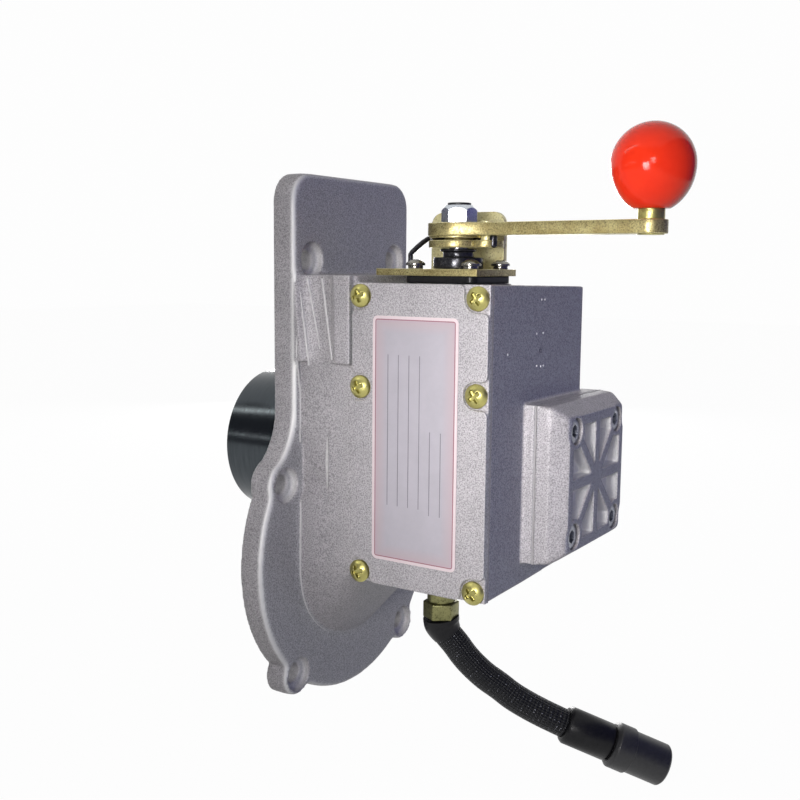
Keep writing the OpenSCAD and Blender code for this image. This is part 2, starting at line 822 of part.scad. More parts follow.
// Compression spring as a swept coil, flat on its two seats
module return_spring() {
    wire_r = return_wire / 2;
    x0 = seat_x0 + seat_t + wire_r + fit_gap;
    x1 = spring_x1 - wire_r - fit_gap;
    steps = spring_turns * 16;
    sides = 8;
    pts = [for (i = [0 : steps], k = [0 : sides - 1])
        let (a = 360 * spring_turns * i / steps, r = spring_mean_r + wire_r * cos(360 * k / sides))
        [x0 + (x1 - x0) * i / steps + wire_r * sin(360 * k / sides), r * cos(a), r * sin(a)]];
    sides_faces = [for (i = [0 : steps - 1], k = [0 : sides - 1])
        let (n = (k + 1) % sides) [i * sides + k, (i + 1) * sides + k, (i + 1) * sides + n, i * sides + n]];
    first = [for (k = [0 : sides - 1]) k];
    last = [for (k = [sides - 1 : -1 : 0]) steps * sides + k];
    color("gray") polyhedron(pts, concat(sides_faces, [first, last]));
}

// Folded sheet: flat plate with the stop bracket bent up along its far edge
module bearing_plate() {
    corner = 3;
    bracket_inset = 6;
    bracket_corner_r = 5.5;
    near_y = pivot_y - plate_near;
    far_y = pivot_y + plate_far;
    color("darkkhaki") {
        difference() {
            union() {
                translate([0, 0, plate_z0]) linear_extrude(plate_t)
                    polygon([[pivot_x - plate_back, near_y], [pivot_x + plate_front, near_y],
                        [pivot_x + plate_front, far_y - corner],
                        [pivot_x + plate_front - corner, far_y], [pivot_x - plate_back, far_y]]);
                translate([pivot_x - plate_back + bracket_inset, far_y, plate_z0]) rotate([90, 0, 0]) linear_extrude(plate_t) {
                    square([bracket_w, plate_t + bracket_h - bracket_corner_r]);
                    translate([bracket_corner_r, 0]) square([bracket_w - 2 * bracket_corner_r, plate_t + bracket_h]);
                    for (x = [bracket_corner_r, bracket_w - bracket_corner_r])
                        translate([x, plate_t + bracket_h - bracket_corner_r]) circle(bracket_corner_r);
                }
            }
            translate([pivot_x, pivot_y, plate_z0 - 1]) cylinder(h = plate_t + 2, r = bush_spigot_r + fit_gap);
            for (p = plate_screw_at) translate([p.x, p.y, plate_z0 - 1]) cylinder(h = plate_t + 2, r = plate_screw_r + 2 * fit_gap);
        }
    }
}

module plate_gasket() {
    corner_r = 3;
    half = plate_gasket_w / 2 - corner_r;
    color("black") translate([pivot_x, pivot_y, box_top_z]) difference() {
        linear_extrude(plate_gasket_t) {
            square([plate_gasket_w, 2 * half], center = true);
            square([2 * half, plate_gasket_w], center = true);
            for (sx = [-1, 1], sy = [-1, 1]) translate([sx, sy] * half) circle(corner_r);
        }
        translate([0, 0, -1]) cylinder(h = plate_gasket_t + 2, r = bush_spigot_r + fit_gap);
        for (sx = [-1, 1], sy = [-1, 1]) translate([sx * plate_screw_pitch / 2, sy * plate_screw_pitch / 2, -1])
            cylinder(h = plate_gasket_t + 2, r = plate_screw_r + 2 * fit_gap);
    }
}

module plate_screws() {
    color("black") for (p = plate_screw_at) translate([p.x, p.y, plate_z1 + washer_t]) rotate([0, 0, p.x * 7])
        pan_screw(plate_head_r, plate_head_h, plate_screw_r, plate_screw_len);
}

module plate_washers() {
    color("darkslategray") for (p = plate_screw_at) translate([p.x, p.y, plate_z1]) difference() {
        cylinder(h = washer_t, r = washer_r);
        translate([0, 0, -1]) cylinder(h = washer_t + 2, r = plate_screw_r + 2 * fit_gap);
    }
}

// Stepped bush that carries the stop shaft
module shaft_bush() {
    color("black") translate([pivot_x, pivot_y, 0]) difference() {
        union() {
            translate([0, 0, bush_bottom_z]) cylinder(h = plate_z1 - bush_bottom_z + eps, r = bush_spigot_r);
            translate([0, 0, plate_z1]) cylinder(h = bush_base_h, r = bush_base_r);
            translate([0, 0, plate_z1]) cylinder(h = bush_base_h + bush_neck_h + eps, r = bush_neck_r);
            translate([0, 0, bush_top_z - bush_collar_h]) cylinder(h = bush_collar_h, r = bush_collar_r);
        }
        translate([0, 0, bush_bottom_z - 1]) cylinder(h = bush_top_z - bush_bottom_z + 2, r = shaft_r + run_gap);
        translate([0, 0, seal_z0]) cylinder(h = seal_h, r = seal_r);
    }
}

module shaft_seal() {
    lip = 0.3;
    mid_r = (shaft_r + lip + seal_r - fit_gap) / 2;
    wire_r = (seal_r - fit_gap - shaft_r - lip) / 2;
    color("black") translate([pivot_x, pivot_y, seal_z0 + seal_h / 2]) rotate_extrude()
        translate([mid_r, 0]) circle(wire_r);
}

module stop_shaft() {
    edge = 0.6;
    foot_z = finger_z0 - 3;
    length = shaft_top_z - foot_z;
    color("lightgray") translate([pivot_x, pivot_y, foot_z]) rotate_extrude()
        polygon([[0, 0], [shaft_r - edge, 0], [shaft_r, edge], [shaft_r, length - edge], [shaft_r - edge, length], [0, length]]);
}

// Arm inside the box that pushes the rod's collar towards stop
module stop_finger() {
    tip_r = finger_w / 2;
    color("gray") translate([pivot_x, pivot_y, finger_z0]) difference() {
        union() {
            cylinder(h = finger_hub_h, r = finger_hub_r);
            translate([-finger_w / 2, 0, 0]) cube([finger_w, finger_len - tip_r, finger_t]);
            translate([0, finger_len - tip_r, 0]) cylinder(h = finger_t, r = tip_r);
        }
        translate([0, 0, -1]) cylinder(h = finger_hub_h + 2, r = shaft_r + fit_gap);
    }
}

module lower_disc() {
    spring_hub_r = 6;
    color("darkkhaki") translate([pivot_x, pivot_y, disc_z0]) difference() {
        union() {
            linear_extrude(disc_t) difference() {
                union() {
                    circle(disc_r);
                    rotate(lever_angle) translate([pin_reach, 0]) circle(ear_r);
                }
                rotate(lever_angle) translate([pin_reach, 0]) circle(pin_r + fit_gap);
            }
            cylinder(h = disc_t + hub_gap, r = spring_hub_r);
        }
        translate([0, 0, -1]) cylinder(h = disc_t + hub_gap + 2, r = shaft_r + fit_gap);
    }
}

// Torsion spring: part of a turn round the disc's hub, one leg down to a plate screw
module torsion_spring() {
    wire_r = torsion_wire / 2;
    turn_r = 8.6;
    z = disc_z0 + disc_t + wire_gap + wire_r;
    sides = 8;
    start_a = 40;
    leave_a = 140;
    leg_x = pivot_x - plate_screw_pitch / 2 - washer_r - wire_r - 0.5;
    leg_y = pivot_y - plate_screw_pitch / 2 + 2.5;
    path = concat(
        [for (a = [start_a : 10 : leave_a]) [pivot_x + turn_r * cos(a), pivot_y + turn_r * sin(a), z]],
        [[pivot_x - 11.5, pivot_y + 0.5, z], [pivot_x - 14.2, pivot_y - 3, z - 0.6],
            [leg_x + 0.6, leg_y + 4.5, plate_z1 + 5.5], [leg_x, leg_y + 1, plate_z1 + 2.2], [leg_x, leg_y, plate_z1 + wire_r + 0.1]]);
    n = len(path);
    lean = unit([-1, 1, 0.35]);
    pts = [for (i = [0 : n - 1])
        let (t = unit(path[min(i + 1, n - 1)] - path[max(i - 1, 0)]), s = unit(cross(t, i < 11 ? [0, 0, 1] : lean)), b = cross(t, s))
        for (k = [0 : sides - 1]) path[i] + wire_r * (cos(360 * k / sides) * s + sin(360 * k / sides) * b)];
    skin = [for (i = [0 : n - 2], k = [0 : sides - 1])
        let (m = (k + 1) % sides, a = i * sides, b = a + sides) each [[a + k, a + m, b + m], [a + k, b + m, b + k]]];
    first = [for (k = [sides - 1 : -1 : 0]) k];
    last = [for (k = [0 : sides - 1]) (n - 1) * sides + k];
    color("black") polyhedron(pts, concat(skin, [first, last]));
}

// Places a piece on the lever, whose arm runs along its own X
module on_lever(z) {
    translate([pivot_x, pivot_y, z]) rotate([0, 0, lever_angle]) children();
}

module lever_arm() {
    color("darkkhaki") on_lever(lever_z0) difference() {
        linear_extrude(lever_t) {
            circle(lever_hub_r);
            translate([0, -lever_w / 2]) square([lever_len, lever_w]);
            translate([lever_len, 0]) circle(lever_w / 2);
            polygon([[0, -lever_hub_r], [lever_hub_r * 1.7, -lever_w / 2], [lever_hub_r * 1.7, lever_w / 2], [0, lever_hub_r]]);
        }
        translate([0, 0, -1]) cylinder(h = lever_t + 2, r = shaft_r + fit_gap);
        translate([pin_reach, 0, -1]) cylinder(h = lever_t + 2, r = pin_r - 0.5 + fit_gap);
        translate([lever_len, 0, -1]) cylinder(h = lever_t + 2, r = stem_r - 1.5 + fit_gap);
    }
}

module stop_pin() {
    head_h = 0.8;
    color("darkkhaki") on_lever(lever_z0) translate([pin_reach, 0, 0]) {
        translate([0, 0, -pin_drop]) cylinder(h = pin_drop, r = pin_r);
        translate([0, 0, -eps]) cylinder(h = lever_t + 2 * eps, r = pin_r - 0.5);
        translate([0, 0, lever_t]) cylinder(h = head_h, r = pin_r);
    }
}

module lever_nut() {
    nut_turn = 23;
    color("lightsteelblue") translate([pivot_x, pivot_y, lever_z1]) difference() {
        intersection() {
            hex(nut_af, nut_h, nut_turn);
            rotate_extrude() polygon([[0, 0], [nut_af / 2 + 1.2, 0], [nut_af / 2 + 1.2, nut_h - 2.4],
                [nut_af / 2 - 1, nut_h], [0, nut_h]]);
        }
        translate([0, 0, -1]) cylinder(h = nut_h + 2, r = shaft_r + fit_gap);
    }
}

module nut_ring() {
    color("black") translate([pivot_x, pivot_y, lever_z1 + nut_h]) difference() {
        cylinder(h = nut_ring_h, r = nut_af / 2 - 1.6);
        translate([0, 0, -1]) cylinder(h = nut_ring_h + 2, r = shaft_r + fit_gap);
    }
}

module knob_stem() {
    rivet_h = 0.4;
    screw_h = 12;
    color("darkkhaki") translate([knob_x, knob_y, lever_z0]) {
        translate([0, 0, -rivet_h]) cylinder(h = rivet_h, r = stem_r);
        translate([0, 0, -eps]) cylinder(h = lever_t + 2 * eps, r = stem_r - 1.5);
        translate([0, 0, lever_t]) cylinder(h = stem_h, r = stem_r);
        translate([0, 0, lever_t + stem_h - eps]) cylinder(h = screw_h, r = stem_r - 1.5);
    }
}

// Ball with a slightly longer lower half, cut flat at its foot
module ball_knob() {
    thread_h = 12.5;
    curve = [for (a = [90 : -5 : -knob_cut_a]) [knob_r * cos(a), (a > 0 ? knob_r : knob_low) * sin(a)]];
    color("orangered") translate([knob_x, knob_y, knob_z]) difference() {
        rotate_extrude() polygon(concat(curve, [[knob_foot_d / 2, knob_z0 - knob_z], [0, knob_z0 - knob_z]]));
        translate([0, 0, knob_z0 - knob_z - eps]) cylinder(h = thread_h, r = stem_r - 1.5 + fit_gap);
    }
}

module gland_body() {
    neck_h = gland_base_h + gland_neck_h;
    color("olive") translate([gland_x, gland_y, 0]) difference() {
        union() {
            translate([0, 0, box_bottom_z - neck_h]) cylinder(h = neck_h, r = gland_neck_r);
            translate([0, 0, box_bottom_z - eps]) cylinder(h = gland_thread_len, r = gland_thread_r);
        }
        translate([0, 0, box_bottom_z - 40]) cylinder(h = 80, r = gland_bore_r);
    }
}

module gland_nut() {
    nut_turn = 32.7;
    color("olive") translate([gland_x, gland_y, gland_nut_z0]) difference() {
        hex(gland_af, gland_nut_h, nut_turn);
        translate([0, 0, -1]) cylinder(h = gland_nut_h + 2, r = gland_bore_r);
    }
}

// Sleeved cable as one swept tube
module cable() {
    n = len(cable_route);
    pts = [for (i = [0 : n - 1]) each ring(cable_route, i, cable_d / 2, cable_sides)];
    skin = [for (i = [0 : n - 2], k = [0 : cable_sides - 1])
        let (m = (k + 1) % cable_sides)
        [i * cable_sides + k, i * cable_sides + m, (i + 1) * cable_sides + m, (i + 1) * cable_sides + k]];
    first = [for (k = [cable_sides - 1 : -1 : 0]) k];
    last = [for (k = [0 : cable_sides - 1]) (n - 1) * cable_sides + k];
    color("black") polyhedron(pts, concat(skin, [first, last]));
}

// Turns a piece that stands on z = 0 to lie along the cable's end
module on_cable_end(offset) {
    heading = atan2(plug_dir.y, plug_dir.x);
    fall = acos(plug_dir.z);
    translate(cable_end + offset * plug_dir) rotate([0, fall, heading]) children();
}

module cable_boot() {
    taper = 3;
    color("black") on_cable_end(0) rotate_extrude()
        polygon([[0, 0], [boot_d / 2 - 1, 0], [boot_d / 2, taper / 2], [boot_d / 2, boot_len - taper / 2],
            [boot_d / 2 - 1, boot_len], [0, boot_len]]);
}

module connector() {
    grip_len = 9;
    groove = 0.8;
    socket_depth = 3;
    socket_r = plug_d / 2 - 2.5;
    color("dimgray") on_cable_end(boot_len) difference() {
        rotate_extrude() polygon([[0, 0], [plug_d / 2 - 1.5, 0], [plug_d / 2, 1.5], [plug_d / 2, grip_len],
            [plug_d / 2 - groove, grip_len], [plug_d / 2 - groove, plug_len - 1], [plug_d / 2 - groove - 1, plug_len],
            [0, plug_len]]);
        translate([0, 0, plug_len - socket_depth]) cylinder(h = socket_depth + 1, r = socket_r);
    }
}

main_housing();
neck_shell();
pump_flange();
middle_lug();
side_cover();
cover_gasket();
cover_screws();
data_label();
end_cap();
end_cap_gasket();
end_cap_screws();
solenoid_can();
coil_bobbin();
coil_winding();
pole_piece();
rear_bush();
front_bush();
plunger();
push_rod();
stop_collar();
spring_seat();
return_spring();
bearing_plate();
plate_gasket();
plate_screws();
plate_washers();
shaft_bush();
shaft_seal();
stop_shaft();
stop_finger();
lower_disc();
torsion_spring();
lever_arm();
stop_pin();
lever_nut();
nut_ring();
knob_stem();
ball_knob();
gland_body();
gland_nut();
cable();
cable_boot();
connector();
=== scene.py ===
import math

import bpy
from mathutils import Matrix, Vector


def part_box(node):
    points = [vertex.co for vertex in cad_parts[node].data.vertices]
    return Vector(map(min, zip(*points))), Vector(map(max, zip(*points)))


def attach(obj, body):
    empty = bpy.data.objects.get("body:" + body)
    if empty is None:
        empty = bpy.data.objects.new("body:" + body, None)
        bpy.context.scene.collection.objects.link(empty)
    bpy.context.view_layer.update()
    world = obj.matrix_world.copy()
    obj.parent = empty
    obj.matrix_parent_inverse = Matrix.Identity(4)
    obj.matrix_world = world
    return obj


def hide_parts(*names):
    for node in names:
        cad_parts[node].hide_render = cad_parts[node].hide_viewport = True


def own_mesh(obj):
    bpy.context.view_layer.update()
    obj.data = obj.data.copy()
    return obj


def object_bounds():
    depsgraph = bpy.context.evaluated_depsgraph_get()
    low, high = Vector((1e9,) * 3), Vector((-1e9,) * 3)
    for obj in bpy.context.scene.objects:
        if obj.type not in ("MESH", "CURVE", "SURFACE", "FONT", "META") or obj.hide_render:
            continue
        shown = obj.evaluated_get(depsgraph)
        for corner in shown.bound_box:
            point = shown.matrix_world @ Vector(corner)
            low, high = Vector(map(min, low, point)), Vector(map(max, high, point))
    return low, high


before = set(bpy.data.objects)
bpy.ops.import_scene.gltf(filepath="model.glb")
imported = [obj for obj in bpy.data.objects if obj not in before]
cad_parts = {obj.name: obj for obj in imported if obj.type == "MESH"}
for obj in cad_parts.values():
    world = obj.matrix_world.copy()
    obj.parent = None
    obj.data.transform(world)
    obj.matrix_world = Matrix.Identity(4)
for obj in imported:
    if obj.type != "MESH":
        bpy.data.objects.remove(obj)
cadBox = [list(corner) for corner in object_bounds()]
mm = 0.001
print("frame loaded,", len(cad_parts), "nodes")


# camera, at the photograph's place: metres, degrees, and millimetres for lens and sensor
cameraView = {
    "place": (0.289, -0.4152, 0.0891), "turn": 32.71, "drop": 7.38, "roll": 0.5,
    "lens": 46.665, "sensor": 36,
}


def standAt(thing, place, right, up, back):
    thing.matrix_world = Matrix.Translation(place) @ Matrix((right, up, back)).transposed().to_4x4()


def addCamera(view):
    turn, drop, roll = (math.radians(view[key]) for key in ("turn", "drop", "roll"))
    right = Vector((math.cos(turn), math.sin(turn), 0))
    back = Vector((math.sin(turn) * math.cos(drop), -math.cos(turn) * math.cos(drop), math.sin(drop)))
    up = back.cross(right)
    rolledRight = math.cos(roll) * right + math.sin(roll) * up
    rolledUp = math.cos(roll) * up - math.sin(roll) * right
    bpy.ops.object.camera_add()
    camera = bpy.context.object
    camera.data.sensor_width = view["sensor"]
    camera.data.lens = view["lens"]
    standAt(camera, view["place"], rolledRight, rolledUp, back)
    bpy.context.scene.camera = camera


addCamera(cameraView)
bpy.context.scene.view_settings.view_transform = "Standard"
print("camera placed")


# small helpers for pieces
meshSizes = {
    "merge": 0.004, "flat": 0.4,  # doubles merged in mm, faces joined up under this angle
    "pastSharp": 5, "smallSmooth": 40, "tubeSmooth": 50,  # angles of smooth shading
    "machinedFacing": (0.72, 0.22),  # where a face turned to +X starts to look machined, and over how much
}


def partWay(value, start, span):
    # how far value has come from start over the span, from 0 to 1
    return min(1, max(0, (value - start) / span))


def clearSelection():
    if bpy.context.object and bpy.context.object.mode != "OBJECT":
        bpy.ops.object.mode_set(mode="OBJECT")
    bpy.ops.object.select_all(action="DESELECT")


def takeHold(piece):
    clearSelection()
    piece.select_set(True)
    bpy.context.view_layer.objects.active = piece


def applyPlace():
    bpy.ops.object.transform_apply(location=True, rotation=True, scale=True)


def applyAll(piece):
    takeHold(piece)
    for modifier in list(piece.modifiers):
        bpy.ops.object.modifier_apply(modifier=modifier.name)


def smoothUpTo(degrees):
    bpy.ops.object.shade_smooth_by_angle(angle=math.radians(degrees))


def joinAll(name, pieces):
    for piece in pieces:
        piece.select_set(True)
    bpy.ops.object.join()
    bpy.context.object.name = name
    return bpy.context.object


def copyNodes(name, nodeNames):
    clearSelection()
    copies = []
    for nodeName in nodeNames:
        copy = bpy.data.objects.new(name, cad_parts[nodeName].data.copy())
        bpy.context.scene.collection.objects.link(copy)
        copy.select_set(True)
        copies.append(copy)
    bpy.context.view_layer.objects.active = copies[0]
    if len(copies) > 1:
        bpy.ops.object.join()
    piece = bpy.context.object
    bpy.ops.mesh.customdata_custom_splitnormals_clear()
    bpy.ops.object.mode_set(mode="EDIT")
    bpy.ops.mesh.select_all(action="SELECT")
    bpy.ops.mesh.remove_doubles(threshold=meshSizes["merge"] * mm)
    bpy.ops.object.mode_set(mode="OBJECT")
    return piece


def softCopy(name, nodeNames, edge, steps=3, sharp=35):
    # copy of CAD nodes with flat faces joined up and its edges broken
    piece = copyNodes(name, nodeNames)
    bpy.ops.object.mode_set(mode="EDIT")
    bpy.ops.mesh.select_all(action="SELECT")
    bpy.ops.mesh.dissolve_limited(angle_limit=math.radians(meshSizes["flat"]))
    bpy.ops.object.mode_set(mode="OBJECT")
    bevel = piece.modifiers.new("brokenEdges", "BEVEL")
    bevel.width = edge * mm
    bevel.segments = steps
    bevel.limit_method = "ANGLE"
    bevel.angle_limit = math.radians(sharp)
    applyAll(piece)
    smoothUpTo(sharp + meshSizes["pastSharp"])
    return piece


def addSoftening(piece, name, rounds):
    soften = piece.modifiers.new(name, "SMOOTH")
    soften.factor = 0.5
    soften.iterations = rounds
    return soften


def castCopy(name, nodeNames, sizes, rimShare=None, paleShare=None):
    # copy of CAD nodes remade as one casting, with soft edges and corners
    piece = copyNodes(name, nodeNames)
    piece.data.remesh_voxel_size = sizes["grid"] * mm
    bpy.ops.object.voxel_remesh()
    addSoftening(piece, "soften", sizes["rounds"])
    if rimShare:
        # a broader rounding where rimShare gives more than 0
        rim = piece.vertex_groups.new(name="rim")
        for vertex in piece.data.vertices:
            share = rimShare(vertex.co / mm)
            if share > 0:
                rim.add([vertex.index], min(1, share), "REPLACE")
        addSoftening(piece, "broadRim", sizes["rimRounds"]).vertex_group = "rim"
    triangles = 2 * len(piece.data.polygons)
    if triangles > sizes["most"]:
        thin = piece.modifiers.new("thin", "DECIMATE")
        thin.ratio = sizes["most"] / triangles
    applyAll(piece)
    piece.vertex_groups.clear()
    bpy.ops.object.shade_smooth()
    machined = piece.data.attributes.new("machined", "FLOAT", "POINT")
    paintedLight = piece.data.attributes.new("paintedLight", "FLOAT", "POINT")
    for vertex in piece.data.vertices:
        machined.data[vertex.index].value = partWay(vertex.normal.x, *meshSizes["machinedFacing"])
        # the per-point pale share laid on here is painted light: highlights on the flange's edge, pale bolt
        # faces and pale pockets
        if paleShare:
            paintedLight.data[vertex.index].value = paleShare(vertex.co / mm, vertex.normal)
    print(name, "casting,", triangles, "triangles before thinning,", len(piece.data.polygons), "after")
    return piece


def pickNone(piece, selectMode):
    if piece.mode != "OBJECT":
        bpy.ops.object.mode_set(mode="OBJECT")
    bpy.context.tool_settings.mesh_select_mode = selectMode
    for kind in (piece.data.vertices, piece.data.edges, piece.data.polygons):
        for part in kind:
            part.select = False


def pickFaces(piece, test):
    pickNone(piece, (False, False, True))
    for face in piece.data.polygons:
        face.select = test(face)
    bpy.ops.object.mode_set(mode="EDIT")


def pickEdges(piece, test):
    pickNone(piece, (False, True, False))
    for edge in piece.data.edges:
        edge.select = test(*(piece.data.vertices[i].co for i in edge.vertices))
    bpy.ops.object.mode_set(mode="EDIT")


def addFinish(piece, material, test):
    # a second finish on the faces that pass the test
    piece.data.materials.append(material)
    for face in piece.data.polygons:
        if test(face):
            face.material_index = len(piece.data.materials) - 1


def dress(piece, material, body, slotName, *nodeNames):
    piece.data.materials.clear()
    piece.data.materials.append(material)
    for face in piece.data.polygons:
        face.material_index = 0
    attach(piece, body)
    if nodeNames:
        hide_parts(*nodeNames)
    return piece


# small helpers for materials, where owner is a material or the world
def startMaterial(name):
    material = bpy.data.materials.new(name)
    material.use_nodes = True
    return material, material.node_tree.nodes["Principled BSDF"]


def addNode(owner, kind, values=None, **settings):
    node = owner.node_tree.nodes.new("ShaderNode" + kind)
    for key, value in settings.items():
        setattr(node, key, value)
    for key, value in (values or {}).items():
        node.inputs[key].default_value = value
    return node


def link(owner, fromSocket, toSocket):
    owner.node_tree.links.new(fromSocket, toSocket)


def feed(owner, value, socket):
    # a socket, a colour or a number goes in
    if isinstance(value, bpy.types.NodeSocket):
        link(owner, value, socket)
    elif isinstance(value, tuple):
        socket.default_value = (*value, 1)
    else:
        socket.default_value = value


def objectPoint(material):
    return addNode(material, "TexCoord").outputs["Object"]


def attributeOf(material, name):
    return addNode(material, "Attribute", attribute_name=name).outputs["Fac"]


def splitPoint(material, point):
    parts = addNode(material, "SeparateXYZ")
    link(material, point, parts.inputs["Vector"])
    return parts.outputs


def stretched(material, point, scale):
    mapping = addNode(material, "Mapping", {"Scale": scale})
    link(material, point, mapping.inputs["Vector"])
    return mapping.outputs["Vector"]


def noiseOf(material, point, scale, detail=3, roughness=0.6):
    noise = addNode(material, "TexNoise", {"Scale": scale, "Detail": detail, "Roughness": roughness})
    link(material, point, noise.inputs["Vector"])
    return noise.outputs["Fac"]


def rampOf(material, factor, stops):
    ramp = addNode(material, "ValToRGB")
    elements = ramp.color_ramp.elements
    while len(elements) < len(stops):
        elements.new(0.5)
    for element, (place, colour) in zip(elements, stops):
        element.position = place
        element.color = (*colour, 1)
    link(material, factor, ramp.inputs["Fac"])
    return ramp.outputs["Color"]


def spread(material, factor, low, high, fromLow=0.3, fromHigh=0.7):
    values = {"From Min": fromLow, "From Max": fromHigh, "To Min": low, "To Max": high}
    remap = addNode(material, "MapRange", values)
    link(material, factor, remap.inputs["Value"])
    return remap.outputs["Result"]


def mathOf(owner, operation, *values, clamp=False):
    node = addNode(owner, "Math", operation=operation, use_clamp=clamp)
    for socket, value in zip(node.inputs, values):
        feed(owner, value, socket)
    return node.outputs["Value"]


def mixOf(material, factor, first, second, blend="MIX"):
    # 6 and 7 are the mix node's colour inputs, and 2 is its colour output
    mix = addNode(material, "Mix", data_type="RGBA", blend_type=blend)
    feed(material, factor, mix.inputs["Factor"])
    feed(material, first, mix.inputs[6])
    feed(material, second, mix.inputs[7])
    return mix.outputs[2]


def bumpOf(material, height, strength, distance, before=None):
    bump = addNode(material, "Bump", {"Strength": strength, "Distance": distance * mm})
    link(material, height, bump.inputs["Height"])
    if before:
        link(material, before, bump.inputs["Normal"])
    return bump.outputs["Normal"]


# finishes
# the rim colour brightens sharp edges, partly wear and partly painted highlight, and the near-white colour
# after it is painted light on the flange's edge, bolt faces and the cap's pockets
castLook = {
    "pale": (0.57, 0.545, 0.56), "mid": (0.485, 0.465, 0.475), "rim": (0.80, 0.79, 0.78),
    "paintedLight": (0.93, 0.93, 0.90), "machined": (0.60, 0.60, 0.61), "drawn": 0.93, "speck": 0.50,
    "cloudScale": 60, "grainScale": 1700, "pitScale": 620, "lineScale": 900, "lineStretch": (1, 1, 0.06),
    "rimMost": 0.55, "rimFrom": 0.53, "rimTo": 0.62,
    "roughLow": 0.44, "roughHigh": 0.60, "metallic": 0.18, "gloss": 0.25, "grainBump": 0.55, "pitBump": 0.2,
}
shadedEndLook = {**castLook, "machined": (0.40, 0.405, 0.47)}  # darker, bluish machined faces at the cap's end: painted shade on the faces turned to +X


def castAlloy(name, look):
    # blasted casting: fine grain, bright edges that are partly wear and partly painted highlight, painted
    # light from a per-point attribute, smoother on the machined faces
    material, shader = startMaterial(name)
    point = objectPoint(material)
    clouds = noiseOf(material, point, look["cloudScale"], 4, 0.65)
    grain = noiseOf(material, point, look["grainScale"], 2)
    pits = noiseOf(material, point, look["pitScale"], 3, 0.7)
    lines = noiseOf(material, stretched(material, point, look["lineStretch"]), look["lineScale"], 2)
    blasted = rampOf(material, clouds, [(0.30, look["mid"]), (0.68, look["pale"])])
    drawn = tuple(look["drawn"] * c for c in look["machined"])
    smooth = rampOf(material, lines, [(0.3, drawn), (0.7, look["machined"])])
    speck = rampOf(material, grain, [(0.36, (look["speck"],) * 3), (0.60, (1.0, 1.0, 1.0))])
    blasted = mixOf(material, 1.0, blasted, speck, "MULTIPLY")
    smooth = mixOf(material, 1.0, smooth, speck, "MULTIPLY")
    base = mixOf(material, attributeOf(material, "machined"), blasted, smooth)
    # bright edges by pointiness, partly wear and partly painted highlight, then painted light from the
    # per-point attribute
    edges = addNode(material, "NewGeometry").outputs["Pointiness"]
    edges = spread(material, edges, 0, look["rimMost"], look["rimFrom"], look["rimTo"])
    base = mixOf(material, edges, base, look["rim"])
    base = mixOf(material, attributeOf(material, "paintedLight"), base, look["paintedLight"])
    link(material, base, shader.inputs["Base Color"])
    link(material, spread(material, pits, look["roughLow"], look["roughHigh"]), shader.inputs["Roughness"])
    shader.inputs["Metallic"].default_value = look["metallic"]
    shader.inputs["Specular IOR Level"].default_value = look["gloss"]
    fine = bumpOf(material, grain, look["grainBump"], 0.2)
    link(material, bumpOf(material, pits, look["pitBump"], 0.3, fine), shader.inputs["Normal"])
    return material


def platedSteel(name, pale, deep, dark, roughLow, roughHigh, grain=900, most=0.75, until=0.48, metallic=0.9):
    # zinc plating with a passivated colour that clouds and speckles
    material, shader = startMaterial(name)
    point = objectPoint(material)
    clouds = noiseOf(material, point, 160, 4)
    speckle = noiseOf(material, point, grain, 3, 0.7)
    base = rampOf(material, clouds, [(0.28, deep), (0.66, pale)])
    base = mixOf(material, spread(material, speckle, most, 0, 0.32, until), base, dark)
    link(material, base, shader.inputs["Base Color"])
    link(material, spread(material, speckle, roughHigh, roughLow), shader.inputs["Roughness"])
    shader.inputs["Metallic"].default_value = metallic
    link(material, bumpOf(material, speckle, 0.25, 0.08), shader.inputs["Normal"])
    return material


def plainMetal(name, colour, dark, roughness, lines=(1, 1, 1), scale=900, metallic=0.95, bump=0.2):
    # steel or other bare metal with fine marks drawn out along the machining
    material, shader = startMaterial(name)
    marks = noiseOf(material, stretched(material, objectPoint(material), lines), scale, 3, 0.65)
    link(material, rampOf(material, marks, [(0.30, dark), (0.66, colour)]), shader.inputs["Base Color"])
    link(material, spread(material, marks, roughness * 1.3, roughness * 0.75), shader.inputs["Roughness"])
    shader.inputs["Metallic"].default_value = metallic
    link(material, bumpOf(material, marks, bump, 0.04), shader.inputs["Normal"])
    return material


def mouldedPlastic(name, colour, dark, roughness, scale=260, gloss=0.5, bump=0.05):
    # plastic, rubber or paper with a fine uneven skin
    material, shader = startMaterial(name)
    point = objectPoint(material)
    skin = noiseOf(material, point, scale)
    fine = noiseOf(material, point, scale * 4, 2)
    link(material, rampOf(material, skin, [(0.30, dark), (0.68, colour)]), shader.inputs["Base Color"])
    link(material, spread(material, fine, roughness * 0.8, roughness * 1.25), shader.inputs["Roughness"])
    shader.inputs["Specular IOR Level"].default_value = gloss
    link(material, bumpOf(material, skin, bump, 0.2), shader.inputs["Normal"])
    return material


braidLook = {
    "deep": (0.003, 0.003, 0.004), "pale": (0.012, 0.0125, 0.015), "paintedGlint": (0.34, 0.35, 0.38),
    "fleckScale": 520, "roughness": 0.45, "gloss": 0.2, "bump": 0.9,
}


